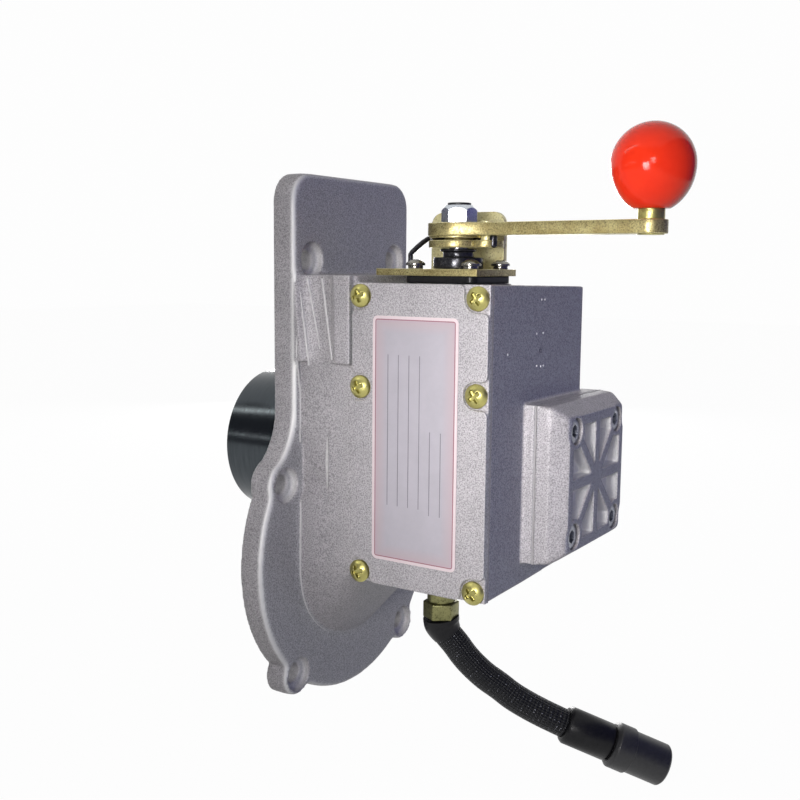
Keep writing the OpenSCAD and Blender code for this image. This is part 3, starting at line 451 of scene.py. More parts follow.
def braidSleeve(look, turnsAlong, strandsRound):
    # crossing strands of an expandable sleeve, drawn on the tube's own UV map, with painted glints on the
    # crossings
    material, shader = startMaterial("braidSleeve")
    parts = splitPoint(material, addNode(material, "TexCoord").outputs["UV"])
    waves = []
    for side in (1, -1):
        along = mathOf(material, "MULTIPLY", parts["X"], turnsAlong)
        around = mathOf(material, "MULTIPLY_ADD", parts["Y"], side * strandsRound, along)
        waves.append(mathOf(material, "SINE", mathOf(material, "MULTIPLY", around, 2 * math.pi)))
    crossing = mathOf(material, "MULTIPLY", *waves)
    weave = spread(material, crossing, 0, 1, -1, 1)
    # painted glints where the crossing stands highest
    high = spread(material, crossing, 0, 1, 0.45, 0.95)
    flecks = noiseOf(material, objectPoint(material), look["fleckScale"], 2, 0.7)
    paintedGlint = mathOf(material, "MULTIPLY", high, spread(material, flecks, 0, 1, 0.55, 0.66), clamp=True)
    base = rampOf(material, weave, [(0.2, look["deep"]), (0.8, look["pale"])])
    link(material, mixOf(material, paintedGlint, base, look["paintedGlint"]), shader.inputs["Base Color"])
    shader.inputs["Roughness"].default_value = look["roughness"]
    shader.inputs["Specular IOR Level"].default_value = look["gloss"]
    link(material, bumpOf(material, weave, look["bump"], 0.5), shader.inputs["Normal"])
    return material


castMaterial = castAlloy("castAlloy", castLook)
shadedEndMaterial = castAlloy("castEndShaded", shadedEndLook)
# goldZinc and the darker copy after it are the lit and the shaded look of one plating: the darker one goes on
# side faces and the stack washer as painted shade, over the plating's own dark speckle
goldMaterial = platedSteel(
    "goldZinc", pale=(0.84, 0.79, 0.45), deep=(0.70, 0.63, 0.31), dark=(0.34, 0.27, 0.10),
    roughLow=0.28, roughHigh=0.46, metallic=0.45)
goldShadedSideMaterial = platedSteel(
    "goldShadedSide", pale=(0.55, 0.485, 0.225), deep=(0.31, 0.245, 0.09), dark=(0.06, 0.045, 0.015),
    roughLow=0.26, roughHigh=0.46, grain=1500, most=0.85, until=0.58, metallic=0.7)
screwMaterial = platedSteel(
    "screwZinc", pale=(0.50, 0.46, 0.16), deep=(0.32, 0.29, 0.10), dark=(0.14, 0.12, 0.04),
    roughLow=0.27, roughHigh=0.42, grain=800, most=0.35, until=0.46)
oliveMaterial = platedSteel(
    "oliveZinc", pale=(0.26, 0.25, 0.11), deep=(0.14, 0.14, 0.06), dark=(0.05, 0.05, 0.02),
    roughLow=0.26, roughHigh=0.46)
nutMaterial = platedSteel(
    "whiteZinc", pale=(0.66, 0.69, 0.73), deep=(0.48, 0.52, 0.57), dark=(0.26, 0.28, 0.32),
    roughLow=0.24, roughHigh=0.40)
plateScrewMaterial = plainMetal("plateScrewSteel", (0.30, 0.285, 0.25), (0.15, 0.145, 0.13), 0.20)
capScrewMaterial = plainMetal("capScrewSteel", (0.30, 0.315, 0.36), (0.20, 0.21, 0.25), 0.30)
brightMaterial = plainMetal("brightAlloy", (0.94, 0.94, 0.94), (0.86, 0.86, 0.87), 0.30, metallic=0.1)
# pale alloy for the casting's raised lines: a painted highlight
highlightLineMaterial = plainMetal("highlightLineAlloy", (0.66, 0.65, 0.645), (0.57, 0.56, 0.555), 0.42, metallic=0.2)
blackSteelMaterial = plainMetal(
    "blackSteel", (0.040, 0.040, 0.046), (0.014, 0.014, 0.017), 0.20, metallic=0.6)
darkSteelMaterial = plainMetal("darkSteel", (0.12, 0.12, 0.13), (0.05, 0.05, 0.06), 0.38)
turnedMaterial = plainMetal(
    "turnedSteel", (0.066, 0.075, 0.083), (0.046, 0.054, 0.060), 0.19,
    lines=(3.0, 0.2, 0.2), scale=400, bump=0.06)
plainSteelMaterial = plainMetal("plainSteel", (0.62, 0.62, 0.63), (0.40, 0.40, 0.42), 0.28)
springMaterial = plainMetal("springSteel", (0.40, 0.40, 0.42), (0.22, 0.22, 0.24), 0.3)
copperMaterial = plainMetal(
    "copperWire", (0.72, 0.30, 0.14), (0.45, 0.17, 0.08), 0.3, lines=(0.6, 4, 4), scale=500)
bronzeMaterial = plainMetal("bronze", (0.60, 0.42, 0.18), (0.36, 0.24, 0.10), 0.34)
gasketMaterial = mouldedPlastic("gasketPaper", (0.40, 0.39, 0.39), (0.33, 0.32, 0.32), 0.85, scale=900)
rubberMaterial = mouldedPlastic(
    "blackRubber", (0.012, 0.012, 0.013), (0.007, 0.007, 0.008), 0.34, scale=500, gloss=0.2)
nylonMaterial = mouldedPlastic("bobbinNylon", (0.72, 0.70, 0.62), (0.60, 0.58, 0.50), 0.45)
knobMaterial = mouldedPlastic(
    "redPlastic", (0.97, 0.042, 0.012), (0.92, 0.035, 0.010), 0.12, scale=120, gloss=0.16, bump=0.02)
blackPlasticMaterial = mouldedPlastic(
    "blackPlastic", (0.022, 0.022, 0.024), (0.012, 0.012, 0.013), 0.42, scale=600, bump=0.12)
print("materials made")


# cable, along the same line as its solid, with its braid on the tube's UV map
cableRoute = {
    "points": [(71, -41.5, -60.9), (71.5, -41, -64.5), (73.5, -40, -68.5), (76.5, -38, -73), (79.5, -36, -78),
               (83, -34, -82.5), (87.5, -31, -87.5), (92.5, -27.5, -92), (97.5, -24.5, -96.5),
               (103.5, -20.5, -101), (110, -16.5, -105), (117, -12, -109)],
    "diameter": 12.3, "between": 4, "sides": 8, "strands": 16, "turns": 26,
}
# shrunk end of the sleeve under the gland
collarSizes = {"wide": 15.7, "straight": 3.2, "taper": 6.0, "over": 0.2}
bootEdge, plugEdge = 0.8, 0.5


def smoothLine(points, between):
    # one curve through all the points, in so many steps from each to the next
    line, last = [], len(points) - 1
    for i in range(last):
        before, start, end, after = (Vector(points[min(max(k, 0), last)]) for k in range(i - 1, i + 3))
        second = 2 * before - 5 * start + 4 * end - after
        third = 3 * start - before - 3 * end + after
        for step in range(between):
            t = step / between
            line.append(0.5 * (2 * start + (end - before) * t + second * t ** 2 + third * t ** 3))
    return line + [Vector(points[last])]


def lineTube(name, points, sides, diameter=1, widths=None):
    # round tube along the points, where widths multiply the diameter
    clearSelection()
    curve = bpy.data.curves.new(name, "CURVE")
    curve.dimensions = "3D"
    curve.bevel_depth = diameter / 2 * mm
    curve.bevel_resolution = sides
    curve.use_fill_caps = True
    spline = curve.splines.new("POLY")
    spline.points.add(len(points) - 1)
    for spot, point, width in zip(spline.points, points, widths or [1] * len(points)):
        spot.co = (*(point * mm), 1)
        spot.radius = width
    tube = bpy.data.objects.new(name, curve)
    bpy.context.scene.collection.objects.link(tube)
    takeHold(tube)
    bpy.ops.object.convert(target="MESH")
    smoothUpTo(meshSizes["tubeSmooth"])
    return bpy.context.object


def makeCollar(sizes):
    points, widths, run = [], [], 0
    narrowed = cableRoute["diameter"] + sizes["over"] - sizes["wide"]
    for before, point in zip([cableLine[0]] + cableLine, cableLine):
        run += (point - before).length
        if run > sizes["straight"] + sizes["taper"]:
            break
        points.append(point)
        widths.append(sizes["wide"] + narrowed * partWay(run, sizes["straight"], sizes["taper"]))
    return lineTube("sleeveCollar", points, cableRoute["sides"], widths=widths)


cableLine = smoothLine(cableRoute["points"], cableRoute["between"])
cableTube = lineTube("cableSleeve", cableLine, cableRoute["sides"], cableRoute["diameter"])
sleeveMaterial = braidSleeve(braidLook, cableRoute["turns"], cableRoute["strands"])
dress(cableTube, sleeveMaterial, "housing", "sleeve", "cable")
sleeveCollar = dress(makeCollar(collarSizes), rubberMaterial, "housing", "sleeve")
cableBoot = softCopy("cableBoot", ["cable_boot"], bootEdge)
dress(cableBoot, rubberMaterial, "housing", "rubber_black", "cable_boot")
cablePlug = softCopy("cablePlug", ["connector"], plugEdge)
dress(cablePlug, blackPlasticMaterial, "housing", "black_plastic", "connector")


# casting, cover and end cap: grid of the remesh, rounds of softening and most triangles come first
castSizes = {
    "grid": 0.9, "rounds": 4, "most": 190000, "rimRounds": 42,
    # broad rounding: its depth, how far past the face it fades, and its gap round a bolt
    "rim": 5.2, "rimPast": 0.5, "boltClear": 8.2,
}
paintedLightSizes = {
    # painted light on the sunk bolt faces, clear of the flange's front and back
    "boltFace": 7.7, "boltFrom": 1.5, "boltSink": 0.4, "bolt": 0.42,
    # painted highlight on the rounded edge
    "flat": 0.12, "roundFrom": (0.12, 0.3), "roundUntil": (0.98, 0.1), "least": 0.3,
    # painted highlight line beside the scoops
    "fold": (42, 84), "foldBack": 1.2, "foldWide": 1.1, "foldFacing": -0.5, "foldMost": 0.9,
}
capSizes = {
    "grid": 0.55, "rounds": 3, "most": 90000, "rimRounds": 90,
    # broad rounding of the corners, clear of the screws
    "flat": 5, "corner": 8.0, "slope": 0.9, "fadeSide": 3, "fadeBack": (4, 2), "screws": 22.2, "bore": 5.6,
    # painted light in the pockets: pale floors and walls
    "wall": 6.5, "sink": 0.3, "pocketPaintedLight": 0.8,
}
endSizes = {"from": 100, "facing": 0.75}  # where the darker, bluish machined faces are: painted shade on the end faces turned to +X
coverSizes = {"grid": 0.5, "rounds": 2, "most": 110000}
gasketSizes = {"grid": 0.4, "rounds": 9, "most": 60000}
boltPlaces = [(-53.9, 91.2), (11.3, 91.2), (-64.2, -93.2), (21.6, -93.2), (-72.2, -5.4)]
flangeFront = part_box("pump_flange")[1].x / mm
capLow, capHigh = (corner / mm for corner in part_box("end_cap"))
capFlat = capLow.x + capSizes["flat"]


def nearBolt(point, reach):
    return any(math.hypot(point.y - y, point.z - z) < reach for y, z in boltPlaces)


def flangeRim(point):
    # share of the broad rounding along the flange's front edge, clear of the bolt faces
    if nearBolt(point, castSizes["boltClear"]):
        return 0
    return min(point.x - (flangeFront - castSizes["rim"]), 2 * (flangeFront + castSizes["rimPast"] - point.x))


def rimPaintedLight(point, normal):
    # painted highlight on the flange's rounded front edge, most of it on the cover's side where the light
    # falls, and painted light on the sunk bolt faces
    # painted light on the sunk bolt faces
    if nearBolt(point, paintedLightSizes["boltFace"]):
        sunk = paintedLightSizes["boltFrom"] < point.x < flangeFront - paintedLightSizes["boltSink"]
        return paintedLightSizes["bolt"] if sunk else 0
    if flangeRim(point) <= 0 or point.x > flangeFront - paintedLightSizes["flat"]:
        return 0
    side = max(0, -normal.y) / max(0.01, math.hypot(normal.y, normal.z))
    last, over = paintedLightSizes["roundUntil"]
    onRound = partWay(normal.x, *paintedLightSizes["roundFrom"]) * partWay(last - normal.x, 0, over)
    onFold = 0
    low, high = paintedLightSizes["fold"]
    if low < point.z < high and normal.y < paintedLightSizes["foldFacing"]:
        onFold = max(0, 1 - abs(point.x - flangeFront + paintedLightSizes["foldBack"]) / paintedLightSizes["foldWide"])
    least = paintedLightSizes["least"]
    return max((least + (1 - least) * side) * onRound, paintedLightSizes["foldMost"] * onFold)


def nearCapScrew(point):
    pitch = capSizes["screws"]
    return math.hypot(abs(point.y) - pitch, abs(point.z) - pitch) < capSizes["bore"]


def capCorner(point):
    # share of the broad rounding along the cap's four corners, clear of its screw bores
    if nearCapScrew(point):
        return 0
    reach = max(0, point.x - capFlat) * capSizes["slope"] + capSizes["corner"]
    sideShare = (abs(point.y) - (capHigh.y - reach)) / capSizes["fadeSide"]
    topShare = (abs(point.z) - (capHigh.z - reach)) / capSizes["fadeSide"]
    back, over = capSizes["fadeBack"]
    return min(sideShare, topShare, (point.x - capFlat + back) / over)


def pocketPaintedLight(point, normal):
    # painted light: pale floors and walls inside the cap's pockets
    inside = min(capHigh.y - abs(point.y), capHigh.z - abs(point.z)) > capSizes["wall"]
    if nearCapScrew(point) or not inside:
        return 0
    return capSizes["pocketPaintedLight"] * partWay(capHigh.x - capSizes["sink"] - point.x, 0, 1)


def onEnd(face):
    return face.normal.x > endSizes["facing"] and face.center.x > endSizes["from"] * mm


castNodes = ["main_housing", "neck_shell", "pump_flange", "middle_lug"]
housing = castCopy("castHousing", castNodes, castSizes, flangeRim, rimPaintedLight)
dress(housing, castMaterial, "housing", "cast_alloy", *castNodes)
cap = castCopy("castCap", ["end_cap"], capSizes, capCorner, pocketPaintedLight)
dress(cap, castMaterial, "housing", "cast_alloy", "end_cap")
# end faces turned to +X take the darker, bluish copy of the finish: painted shade
for piece in (housing, cap):
    addFinish(piece, shadedEndMaterial, onEnd)
cover = castCopy("sideCover", ["side_cover"], coverSizes)
dress(cover, castMaterial, "housing", "cast_alloy", "side_cover")
gasket = castCopy("plateGasket", ["plate_gasket"], gasketSizes)
dress(gasket, rubberMaterial, "housing", "rubber_black", "plate_gasket")
print("castings and gasket made")


# fine raised lines on the casting in a pale finish, a painted highlight along them, and small marks on its
# end face
castLines = {
    # width at the start, the middle and the end, and points, in mm
    "footLine": {
        "across": (0.9, 1.1, 0.9),
        "points": [(12.2, -64.9, 76), (12.2, -65.7, 65), (12.2, -66.1, 50), (12.0, -63.8, 34.5),
                   (12.0, -63.8, 18.8), (11.8, -63.6, 12.5)]},
    "lowFootLine": {
        "across": (0.8, 1.2, 0.5),
        "points": [(12.2, -63.9, -14), (12.4, -64.2, -21.7), (12.1, -64.3, -37.8), (11.7, -63.4, -50.4),
                   (11.4, -59.6, -62.2), (11.3, -53.1, -71.5), (11.3, -44.9, -78.2), (11.3, -38, -81.8)]},
    "scoopLineOne": {
        "across": (1.1, 0.8, 0.4),
        "points": [(15.1, -62.5, 83.4), (16.6, -62.3, 76.4), (18.3, -62.3, 68.6), (20.1, -62.4, 61.2),
                   (21.8, -62.7, 53.5)]},
    "scoopLineTwo": {
        "across": (1.1, 1.1, 0.8),
        "points": [(21.6, -60.7, 83.4), (23.3, -61.3, 75.7), (25.2, -62.1, 66.9), (27.3, -63.2, 58.1),
                   (29.7, -64.6, 49.5)]},
    "scoopLineThree": {
        "across": (0.5, 1.1, 1.3),
        "points": [(13.0, -64.8, 77.6), (14.5, -64.7, 66.6), (16.1, -64.6, 56), (17.0, -64.0, 46.5)]},
    "neckSliver": {
        "across": (0.3, 1.7, 0.3),
        "points": [(26.1, -63.1, 16.8), (25.4, -62.2, 11.1), (25.1, -61.9, 4.9), (25.4, -62.2, -1.1),
                   (25.0, -61.8, -6.9)]},
}
castLineSizes = {"between": 6, "sides": 5}
endMarks = {
    "level": 104.5, "radius": 0.5, "flatness": 0.4,
    "places": [(-19.6, 75.7), (-16.5, 75.6), (-23.6, 61.7), (-17.3, 61.6), (-49.7, 54.7), (-22.8, 48.3),
               (-19, 47.8), (-16.4, 47.9)],
}
endHole = {"place": (-19.8, 54.4), "radius": 0.9, "thick": 0.3, "rim": 0.15, "sink": 0.25}


def makeCastLine(name, line):
    points = smoothLine(line["points"], castLineSizes["between"])
    first, middle, last = line["across"]
    widths = []
    for i in range(len(points)):
        t = 2 * i / (len(points) - 1)
        widths.append(first + (middle - first) * t if t < 1 else middle + (last - middle) * (t - 1))
    return lineTube(name, points, castLineSizes["sides"], widths=widths)


def makeEndMarks(marks):
    clearSelection()
    dots = []
    for y, z in marks["places"]:
        bpy.ops.mesh.primitive_uv_sphere_add(segments=12, ring_count=8, radius=marks["radius"] * mm,
                                             location=(marks["level"] * mm, y * mm, z * mm),
                                             scale=(marks["flatness"], 1, 1))
        applyPlace()
        dots.append(bpy.context.object)
    joined = joinAll("endMarks", dots)
    bpy.ops.object.shade_smooth()
    return joined


def makeEndHole(sizes):
    # shallow centre mark: a ring with a dark dish
    y, z = sizes["place"]
    clearSelection()
    bpy.ops.mesh.primitive_cylinder_add(vertices=24, radius=sizes["radius"] * mm, depth=sizes["thick"] * mm,
                                        rotation=(0, math.radians(90), 0),
                                        location=(endMarks["level"] * mm, y * mm, z * mm))
    applyPlace()
    hole = bpy.context.object
    hole.name = "endCentreMark"
    pickFaces(hole, lambda face: face.normal.x > 0.9)
    bpy.ops.mesh.inset(thickness=sizes["rim"] * mm)
    bpy.ops.transform.translate(value=(-sizes["sink"] * mm, 0, 0))
    bpy.ops.object.mode_set(mode="OBJECT")
    smoothUpTo(meshSizes["smallSmooth"])
    return hole


# raised lines in the pale finish: a painted highlight along each
for name, line in castLines.items():
    dress(makeCastLine(name, line), highlightLineMaterial, "housing", "cast_alloy")
dress(makeEndMarks(endMarks), brightMaterial, "housing", "cast_alloy")
dress(makeEndHole(endHole), darkSteelMaterial, "housing", "cast_alloy")
print("casting's lines and marks made")


# pieces that keep the solid's shape, with broken edges and smooth rounds
plainPieces = [
    # name, node, edge in mm, material, body, slot
    ("coverScrews", "cover_screws", 0.25, screwMaterial, "housing", "zinc_yellow"),
    ("capScrews", "end_cap_screws", 0.35, capScrewMaterial, "housing", "dark_steel"),
    ("solenoidCan", "solenoid_can", 0.3, turnedMaterial, "housing", "turned_steel"),
    ("bearingPlate", "bearing_plate", 0.4, goldMaterial, "housing", "zinc_yellow"),
    ("plateScrews", "plate_screws", 0.2, plateScrewMaterial, "housing", "black_steel"),
    ("plateWashers", "plate_washers", 0.2, plateScrewMaterial, "housing", "black_steel"),
    ("shaftBush", "shaft_bush", 0.5, blackSteelMaterial, "housing", "black_steel"),
    ("lowerDisc", "lower_disc", 0.35, goldMaterial, "stop_lever", "zinc_yellow"),
    ("leverArm", "lever_arm", 0.5, goldMaterial, "stop_lever", "zinc_yellow"),
    ("stopPin", "stop_pin", 0.45, goldMaterial, "stop_lever", "zinc_yellow"),
    ("leverNut", "lever_nut", 0.3, nutMaterial, "stop_lever", "zinc_white"),
    ("nutRing", "nut_ring", 0.3, blackPlasticMaterial, "stop_lever", "black_plastic"),
    ("knobStem", "knob_stem", 0.4, screwMaterial, "stop_lever", "zinc_yellow"),
    ("ballKnob", "ball_knob", 0.6, knobMaterial, "stop_lever", "red_plastic"),
    ("glandBody", "gland_body", 0.4, oliveMaterial, "housing", "zinc_olive"),
    ("glandNut", "gland_nut", 0.5, oliveMaterial, "housing", "zinc_olive"),
]
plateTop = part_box("plate_washers")[0].z
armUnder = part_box("lever_arm")[0].z


def isCutEdge(face):
    # side faces of a stamped sheet
    return abs(face.normal.z) < 0.6


for name, nodeName, edge, material, body, slotName in plainPieces:
    piece = dress(softCopy(name, [nodeName], edge), material, body, slotName, nodeName)
    # side faces of the lever, disc and plate take the darker plated copy: painted shade
    if name in ("leverArm", "lowerDisc"):
        addFinish(piece, goldShadedSideMaterial, isCutEdge)
    if name == "bearingPlate":
        addFinish(piece, goldShadedSideMaterial, lambda face: isCutEdge(face) and face.center.z < plateTop)
print("plain pieces made")


# stop lever's spring, a washer above its coil and a pin in the disc's ear, and the rod's spring
springWire = {
    "coil": 1.6, "leg": 2.1, "widenOver": 4, "turn": 8.6, "from": 40, "to": 140, "step": 10, "under": 0.95,
    "legFromCoil": [(-11.5, 0.5, 0), (-13.9, -1.9, -0.1)],  # from the pivot, and from the coil's height
    "legToPlate": [(-17.3, -8.9, 6.9), (-17.5, -9.8, 4.4), (-17.3, -10.2, 0.9)],  # and above the plate
    "between": 3, "sides": 5,
}
stackWasher = {
    "outer": 12.3, "inner": 9.7, "thick": 1.0, "from": -158, "to": 62,
    "steps": 72, "edge": 0.2, "merge": 0.001,
}
earPin = {"place": (91.4, -38.9), "across": 3.2, "dome": 0.7, "sides": 32, "domeSteps": 4}
pivot = Vector((72.85, -34.3, 0))


def makeSpring(wire):
    level = armUnder / mm - wire["under"]
    angles = [math.radians(a) for a in range(wire["from"], wire["to"] + 1, wire["step"])]
    coil = [pivot + Vector((wire["turn"] * math.cos(a), wire["turn"] * math.sin(a), level)) for a in angles]
    leg = [pivot + Vector((x, y, level + z)) for x, y, z in wire["legFromCoil"]]
    leg += [pivot + Vector((x, y, plateTop / mm + z)) for x, y, z in wire["legToPlate"]]
    line = smoothLine(coil + leg, wire["between"])
    coilEnd = wire["between"] * len(coil)
    thicker = wire["leg"] - wire["coil"]
    widths = [wire["coil"] + thicker * partWay(i, coilEnd, wire["widenOver"]) for i in range(len(line))]
    return lineTube("torsionSpring", line, wire["sides"], widths=widths)


def makeWasher(sizes):
    # an open ring, its section spun round the pivot
    clearSelection()
    bpy.ops.mesh.primitive_plane_add(size=1)
    washer = bpy.context.object
    washer.name = "stackWasher"
    bpy.ops.object.mode_set(mode="EDIT")
    bpy.ops.mesh.select_all(action="SELECT")
    bpy.ops.transform.resize(value=((sizes["outer"] - sizes["inner"]) * mm, sizes["thick"] * mm, 1))
    bpy.ops.object.mode_set(mode="OBJECT")
    start = Matrix.Rotation(math.radians(sizes["from"]), 4, "Z")
    outwards = Matrix.Translation(((sizes["outer"] + sizes["inner"]) / 2 * mm, 0, 0))
    upright = Matrix.Rotation(math.radians(90), 4, "X")
    centre = Vector((pivot.x * mm, pivot.y * mm, armUnder - sizes["thick"] / 2 * mm))
    washer.matrix_world = Matrix.Translation(centre) @ start @ outwards @ upright
    applyPlace()
    bpy.ops.object.mode_set(mode="EDIT")
    bpy.ops.mesh.select_all(action="SELECT")
    sweep = math.radians(sizes["from"] - sizes["to"])
    bpy.ops.mesh.spin(steps=sizes["steps"], angle=sweep, center=centre, axis=(0, 0, 1))
    bpy.ops.mesh.select_all(action="SELECT")
    bpy.ops.mesh.remove_doubles(threshold=sizes["merge"] * mm)
    bpy.ops.mesh.normals_make_consistent(inside=False)
    bpy.ops.object.mode_set(mode="OBJECT")
    bevel = washer.modifiers.new("brokenEdges", "BEVEL")
    bevel.width = sizes["edge"] * mm
    bevel.segments = 2
    bevel.limit_method = "ANGLE"
    applyAll(washer)
    smoothUpTo(meshSizes["smallSmooth"])
    return washer


def makeEarPin(sizes):
    x, y = sizes["place"]
    low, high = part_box("lower_disc")[0].z, armUnder
    clearSelection()
    bpy.ops.mesh.primitive_cylinder_add(vertices=sizes["sides"], radius=sizes["across"] / 2 * mm,
                                        depth=high - low, location=(x * mm, y * mm, (low + high) / 2))
    pin = bpy.context.object
    pin.name = "earPin"
    applyPlace()
    pickEdges(pin, lambda a, b: abs(a.z - b.z) < 0.01 * mm)
    bpy.ops.mesh.bevel(offset=sizes["dome"] * mm, segments=sizes["domeSteps"])
    bpy.ops.object.mode_set(mode="OBJECT")
    smoothUpTo(meshSizes["smallSmooth"])
    return pin


def makeReturnSpring():
    # the rod's spring, a copy of its solid with smooth shading
    spring = copyNodes("returnSpring", ["return_spring"])
    dress(spring, springMaterial, "housing", "spring_steel", "return_spring")
    smoothUpTo(meshSizes["tubeSmooth"])
    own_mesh(spring)


makeReturnSpring()
dress(makeSpring(springWire), blackSteelMaterial, "housing", "spring_steel", "torsion_spring")
# the washer between lever and disc takes the darker plated copy: painted shade
dress(makeWasher(stackWasher), goldShadedSideMaterial, "stop_lever", "zinc_yellow")
dress(makeEarPin(earPin), blackSteelMaterial, "stop_lever", "black_steel")
print("springs, washer and ear pin made")


# CAD nodes that stay as they are, inside or between the others
keptNodes = {
    "cover_gasket": gasketMaterial, "end_cap_gasket": gasketMaterial, "coil_bobbin": nylonMaterial,
    "coil_winding": copperMaterial, "pole_piece": plainSteelMaterial, "rear_bush": bronzeMaterial,
    "front_bush": bronzeMaterial, "plunger": plainSteelMaterial, "push_rod": plainSteelMaterial,
    "stop_collar": darkSteelMaterial, "spring_seat": darkSteelMaterial, "shaft_seal": rubberMaterial,
    "stop_shaft": plainSteelMaterial, "stop_finger": darkSteelMaterial,
}
for nodeName, material in keptNodes.items():
    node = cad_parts[nodeName]
    if not node.material_slots:
        node.data.materials.append(material)
    for materialSlot in node.material_slots:
        materialSlot.material = material
print("kept nodes finished")


# data label: film with a pale border, a thin line and a field with a few blank rules
labelSizes = {"corner": 2.3, "cornerSteps": 6, "border": 1.25, "line": 0.42, "fade": 7.0}
labelColours = {
    "border": (0.67, 0.575, 0.585), "line": (0.30, 0.13, 0.16),
    "near": (0.48, 0.385, 0.41), "field": (0.415, 0.395, 0.43),
}
labelWear = {"scale": 90, "faded": 1.10, "roughLow": 0.30, "roughHigh": 0.44, "rippleScale": 240}
labelRules = {
    "wide": 0.35, "colour": (0.20, 0.19, 0.21), "lift": 0.03,
    # across and down from the field's middle, and length, in mm
    "rows": [(-12.5, 4, 62), (-7.5, 4, 62), (-2.5, 4, 62), (2.5, 4, 62), (7.5, -12, 34), (12.5, -12, 34)],
}


def borderTint(material, point):
    # 1 at the label's border, fading to 0 towards its middle
    low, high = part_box("data_label")
    parts = splitPoint(material, point)
    sides = []
    for axis, i in (("X", 0), ("Z", 2)):
        half = (high[i] - low[i]) / 2
        away = mathOf(material, "ABSOLUTE", mathOf(material, "SUBTRACT", parts[axis], (low[i] + high[i]) / 2))
        inner, outer = half - labelSizes["fade"] * mm, half - labelSizes["border"] * mm
        sides.append(spread(material, away, 0, 1, inner, outer))
    return mathOf(material, "MAXIMUM", *sides)


def labelFilm(name, colour, near=None):
    material, shader = startMaterial(name)
    point = objectPoint(material)
    paleShare = noiseOf(material, point, labelWear["scale"], 5, 0.7)
    ripple = noiseOf(material, point, labelWear["rippleScale"], 2)
    faded = tuple(min(1, c * labelWear["faded"]) for c in colour)
    base = rampOf(material, paleShare, [(0.3, colour), (0.7, faded)])
    if near:
        base = mixOf(material, borderTint(material, point), base, near)
    link(material, base, shader.inputs["Base Color"])
    roughness = spread(material, paleShare, labelWear["roughLow"], labelWear["roughHigh"])
    link(material, roughness, shader.inputs["Roughness"])
    link(material, bumpOf(material, ripple, 0.05, 0.1), shader.inputs["Normal"])
    return material


def makeLabel(sizes, colours):
    low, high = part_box("data_label")
    clearSelection()
    bpy.ops.mesh.primitive_cube_add(size=1, location=(low + high) / 2, scale=high - low)
    label = bpy.context.object
    label.name = "dataLabel"
    applyPlace()
    pickEdges(label, lambda a, b: abs((a - b).y) > 0.5 * (high.y - low.y))
    bpy.ops.mesh.bevel(offset=sizes["corner"] * mm, segments=sizes["cornerSteps"])
    label.data.materials.append(labelFilm("labelBorder", colours["border"]))
    label.data.materials.append(labelFilm("labelLine", colours["line"]))
    label.data.materials.append(labelFilm("labelField", colours["field"], colours["near"]))
    pickFaces(label, lambda face: face.normal.y < -0.9)
    for step, index in ((sizes["border"], 1), (sizes["line"], 2)):
        bpy.ops.mesh.inset(thickness=step * mm)
        label.active_material_index = index
        bpy.ops.object.material_slot_assign()
    bpy.ops.object.mode_set(mode="OBJECT")
    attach(label, "housing")
    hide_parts("data_label")


def makeRules(rules):
    # thin printed rules, all in one piece on the label's face
    low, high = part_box("data_label")
    middle = (low + high) / 2
    clearSelection()
    bars = []
    for across, down, length in rules["rows"]:
        place = (middle.x + across * mm, low.y, middle.z + down * mm)
        size = (rules["wide"] * mm, 2 * rules["lift"] * mm, length * mm)
        bpy.ops.mesh.primitive_cube_add(size=1, location=place, scale=size)
        applyPlace()
        bars.append(bpy.context.object)
    dress(joinAll("labelRules", bars), labelFilm("ruleInk", rules["colour"]), "housing", "label_film")


makeLabel(labelSizes, labelColours)
makeRules(labelRules)
print("label made")


# floor, cards and world
floorLook = {
    "drop": 0.001, "side": 8.0, "glow": 0.975,
    "lit": (0.20, 0.20, 0.205), "seen": (0.9, 0.9, 0.9), "roughness": 0.9, "gloss": 0.1,
}
wallSizes = {
    "radius": 1.75, "height": 1.7, "centre": (0.05, -0.03), "turn": 105, "sides": 72,
    "glow": (0.10, 0.104, 0.125),
}
blueCard = {"glow": (0.045, 0.05, 0.23), "x": 0.80, "y": (-0.75, 1.6), "z": (-0.13, 0.95)}
cardLook = {"colour": (0.03, 0.03, 0.035), "roughness": 0.9}
worldLook = {"soft": (0.93, 0.92, 1.0), "strength": 0.08, "seenGlow": 0.985}
floorLevel = cadBox[0][2]


def seenWhite(owner):
    # 1 for camera, glossy and transmission rays
    rays = addNode(owner, "LightPath").outputs
    glossy = mathOf(owner, "MAXIMUM", rays["Is Camera Ray"], rays["Is Glossy Ray"])
    return mathOf(owner, "MAXIMUM", glossy, rays["Is Transmission Ray"])


def blendOf(owner, factor, first, second):
    blend = addNode(owner, "MixShader")
    link(owner, factor, blend.inputs["Fac"])
    link(owner, first, blend.inputs[1])
    link(owner, second, blend.inputs[2])
    return blend.outputs["Shader"]


def litFloor(look):
    # nearly white to the eye, with the object's shadow, and darker to the light that bounces off it
    material, shader = startMaterial("paleFloor")
    toCamera = addNode(material, "LightPath").outputs["Is Camera Ray"]
    link(material, mixOf(material, toCamera, look["lit"], look["seen"]), shader.inputs["Base Color"])
    shader.inputs["Roughness"].default_value = look["roughness"]
    shader.inputs["Specular IOR Level"].default_value = look["gloss"]
    glow = addNode(material, "Emission", {"Color": (1, 1, 1, 1), "Strength": 1.0})
    share = mathOf(material, "MULTIPLY", seenWhite(material), look["glow"])
    blend = blendOf(material, share, shader.outputs["BSDF"], glow.outputs["Emission"])
    link(material, blend, material.node_tree.nodes["Material Output"].inputs["Surface"])
    return material


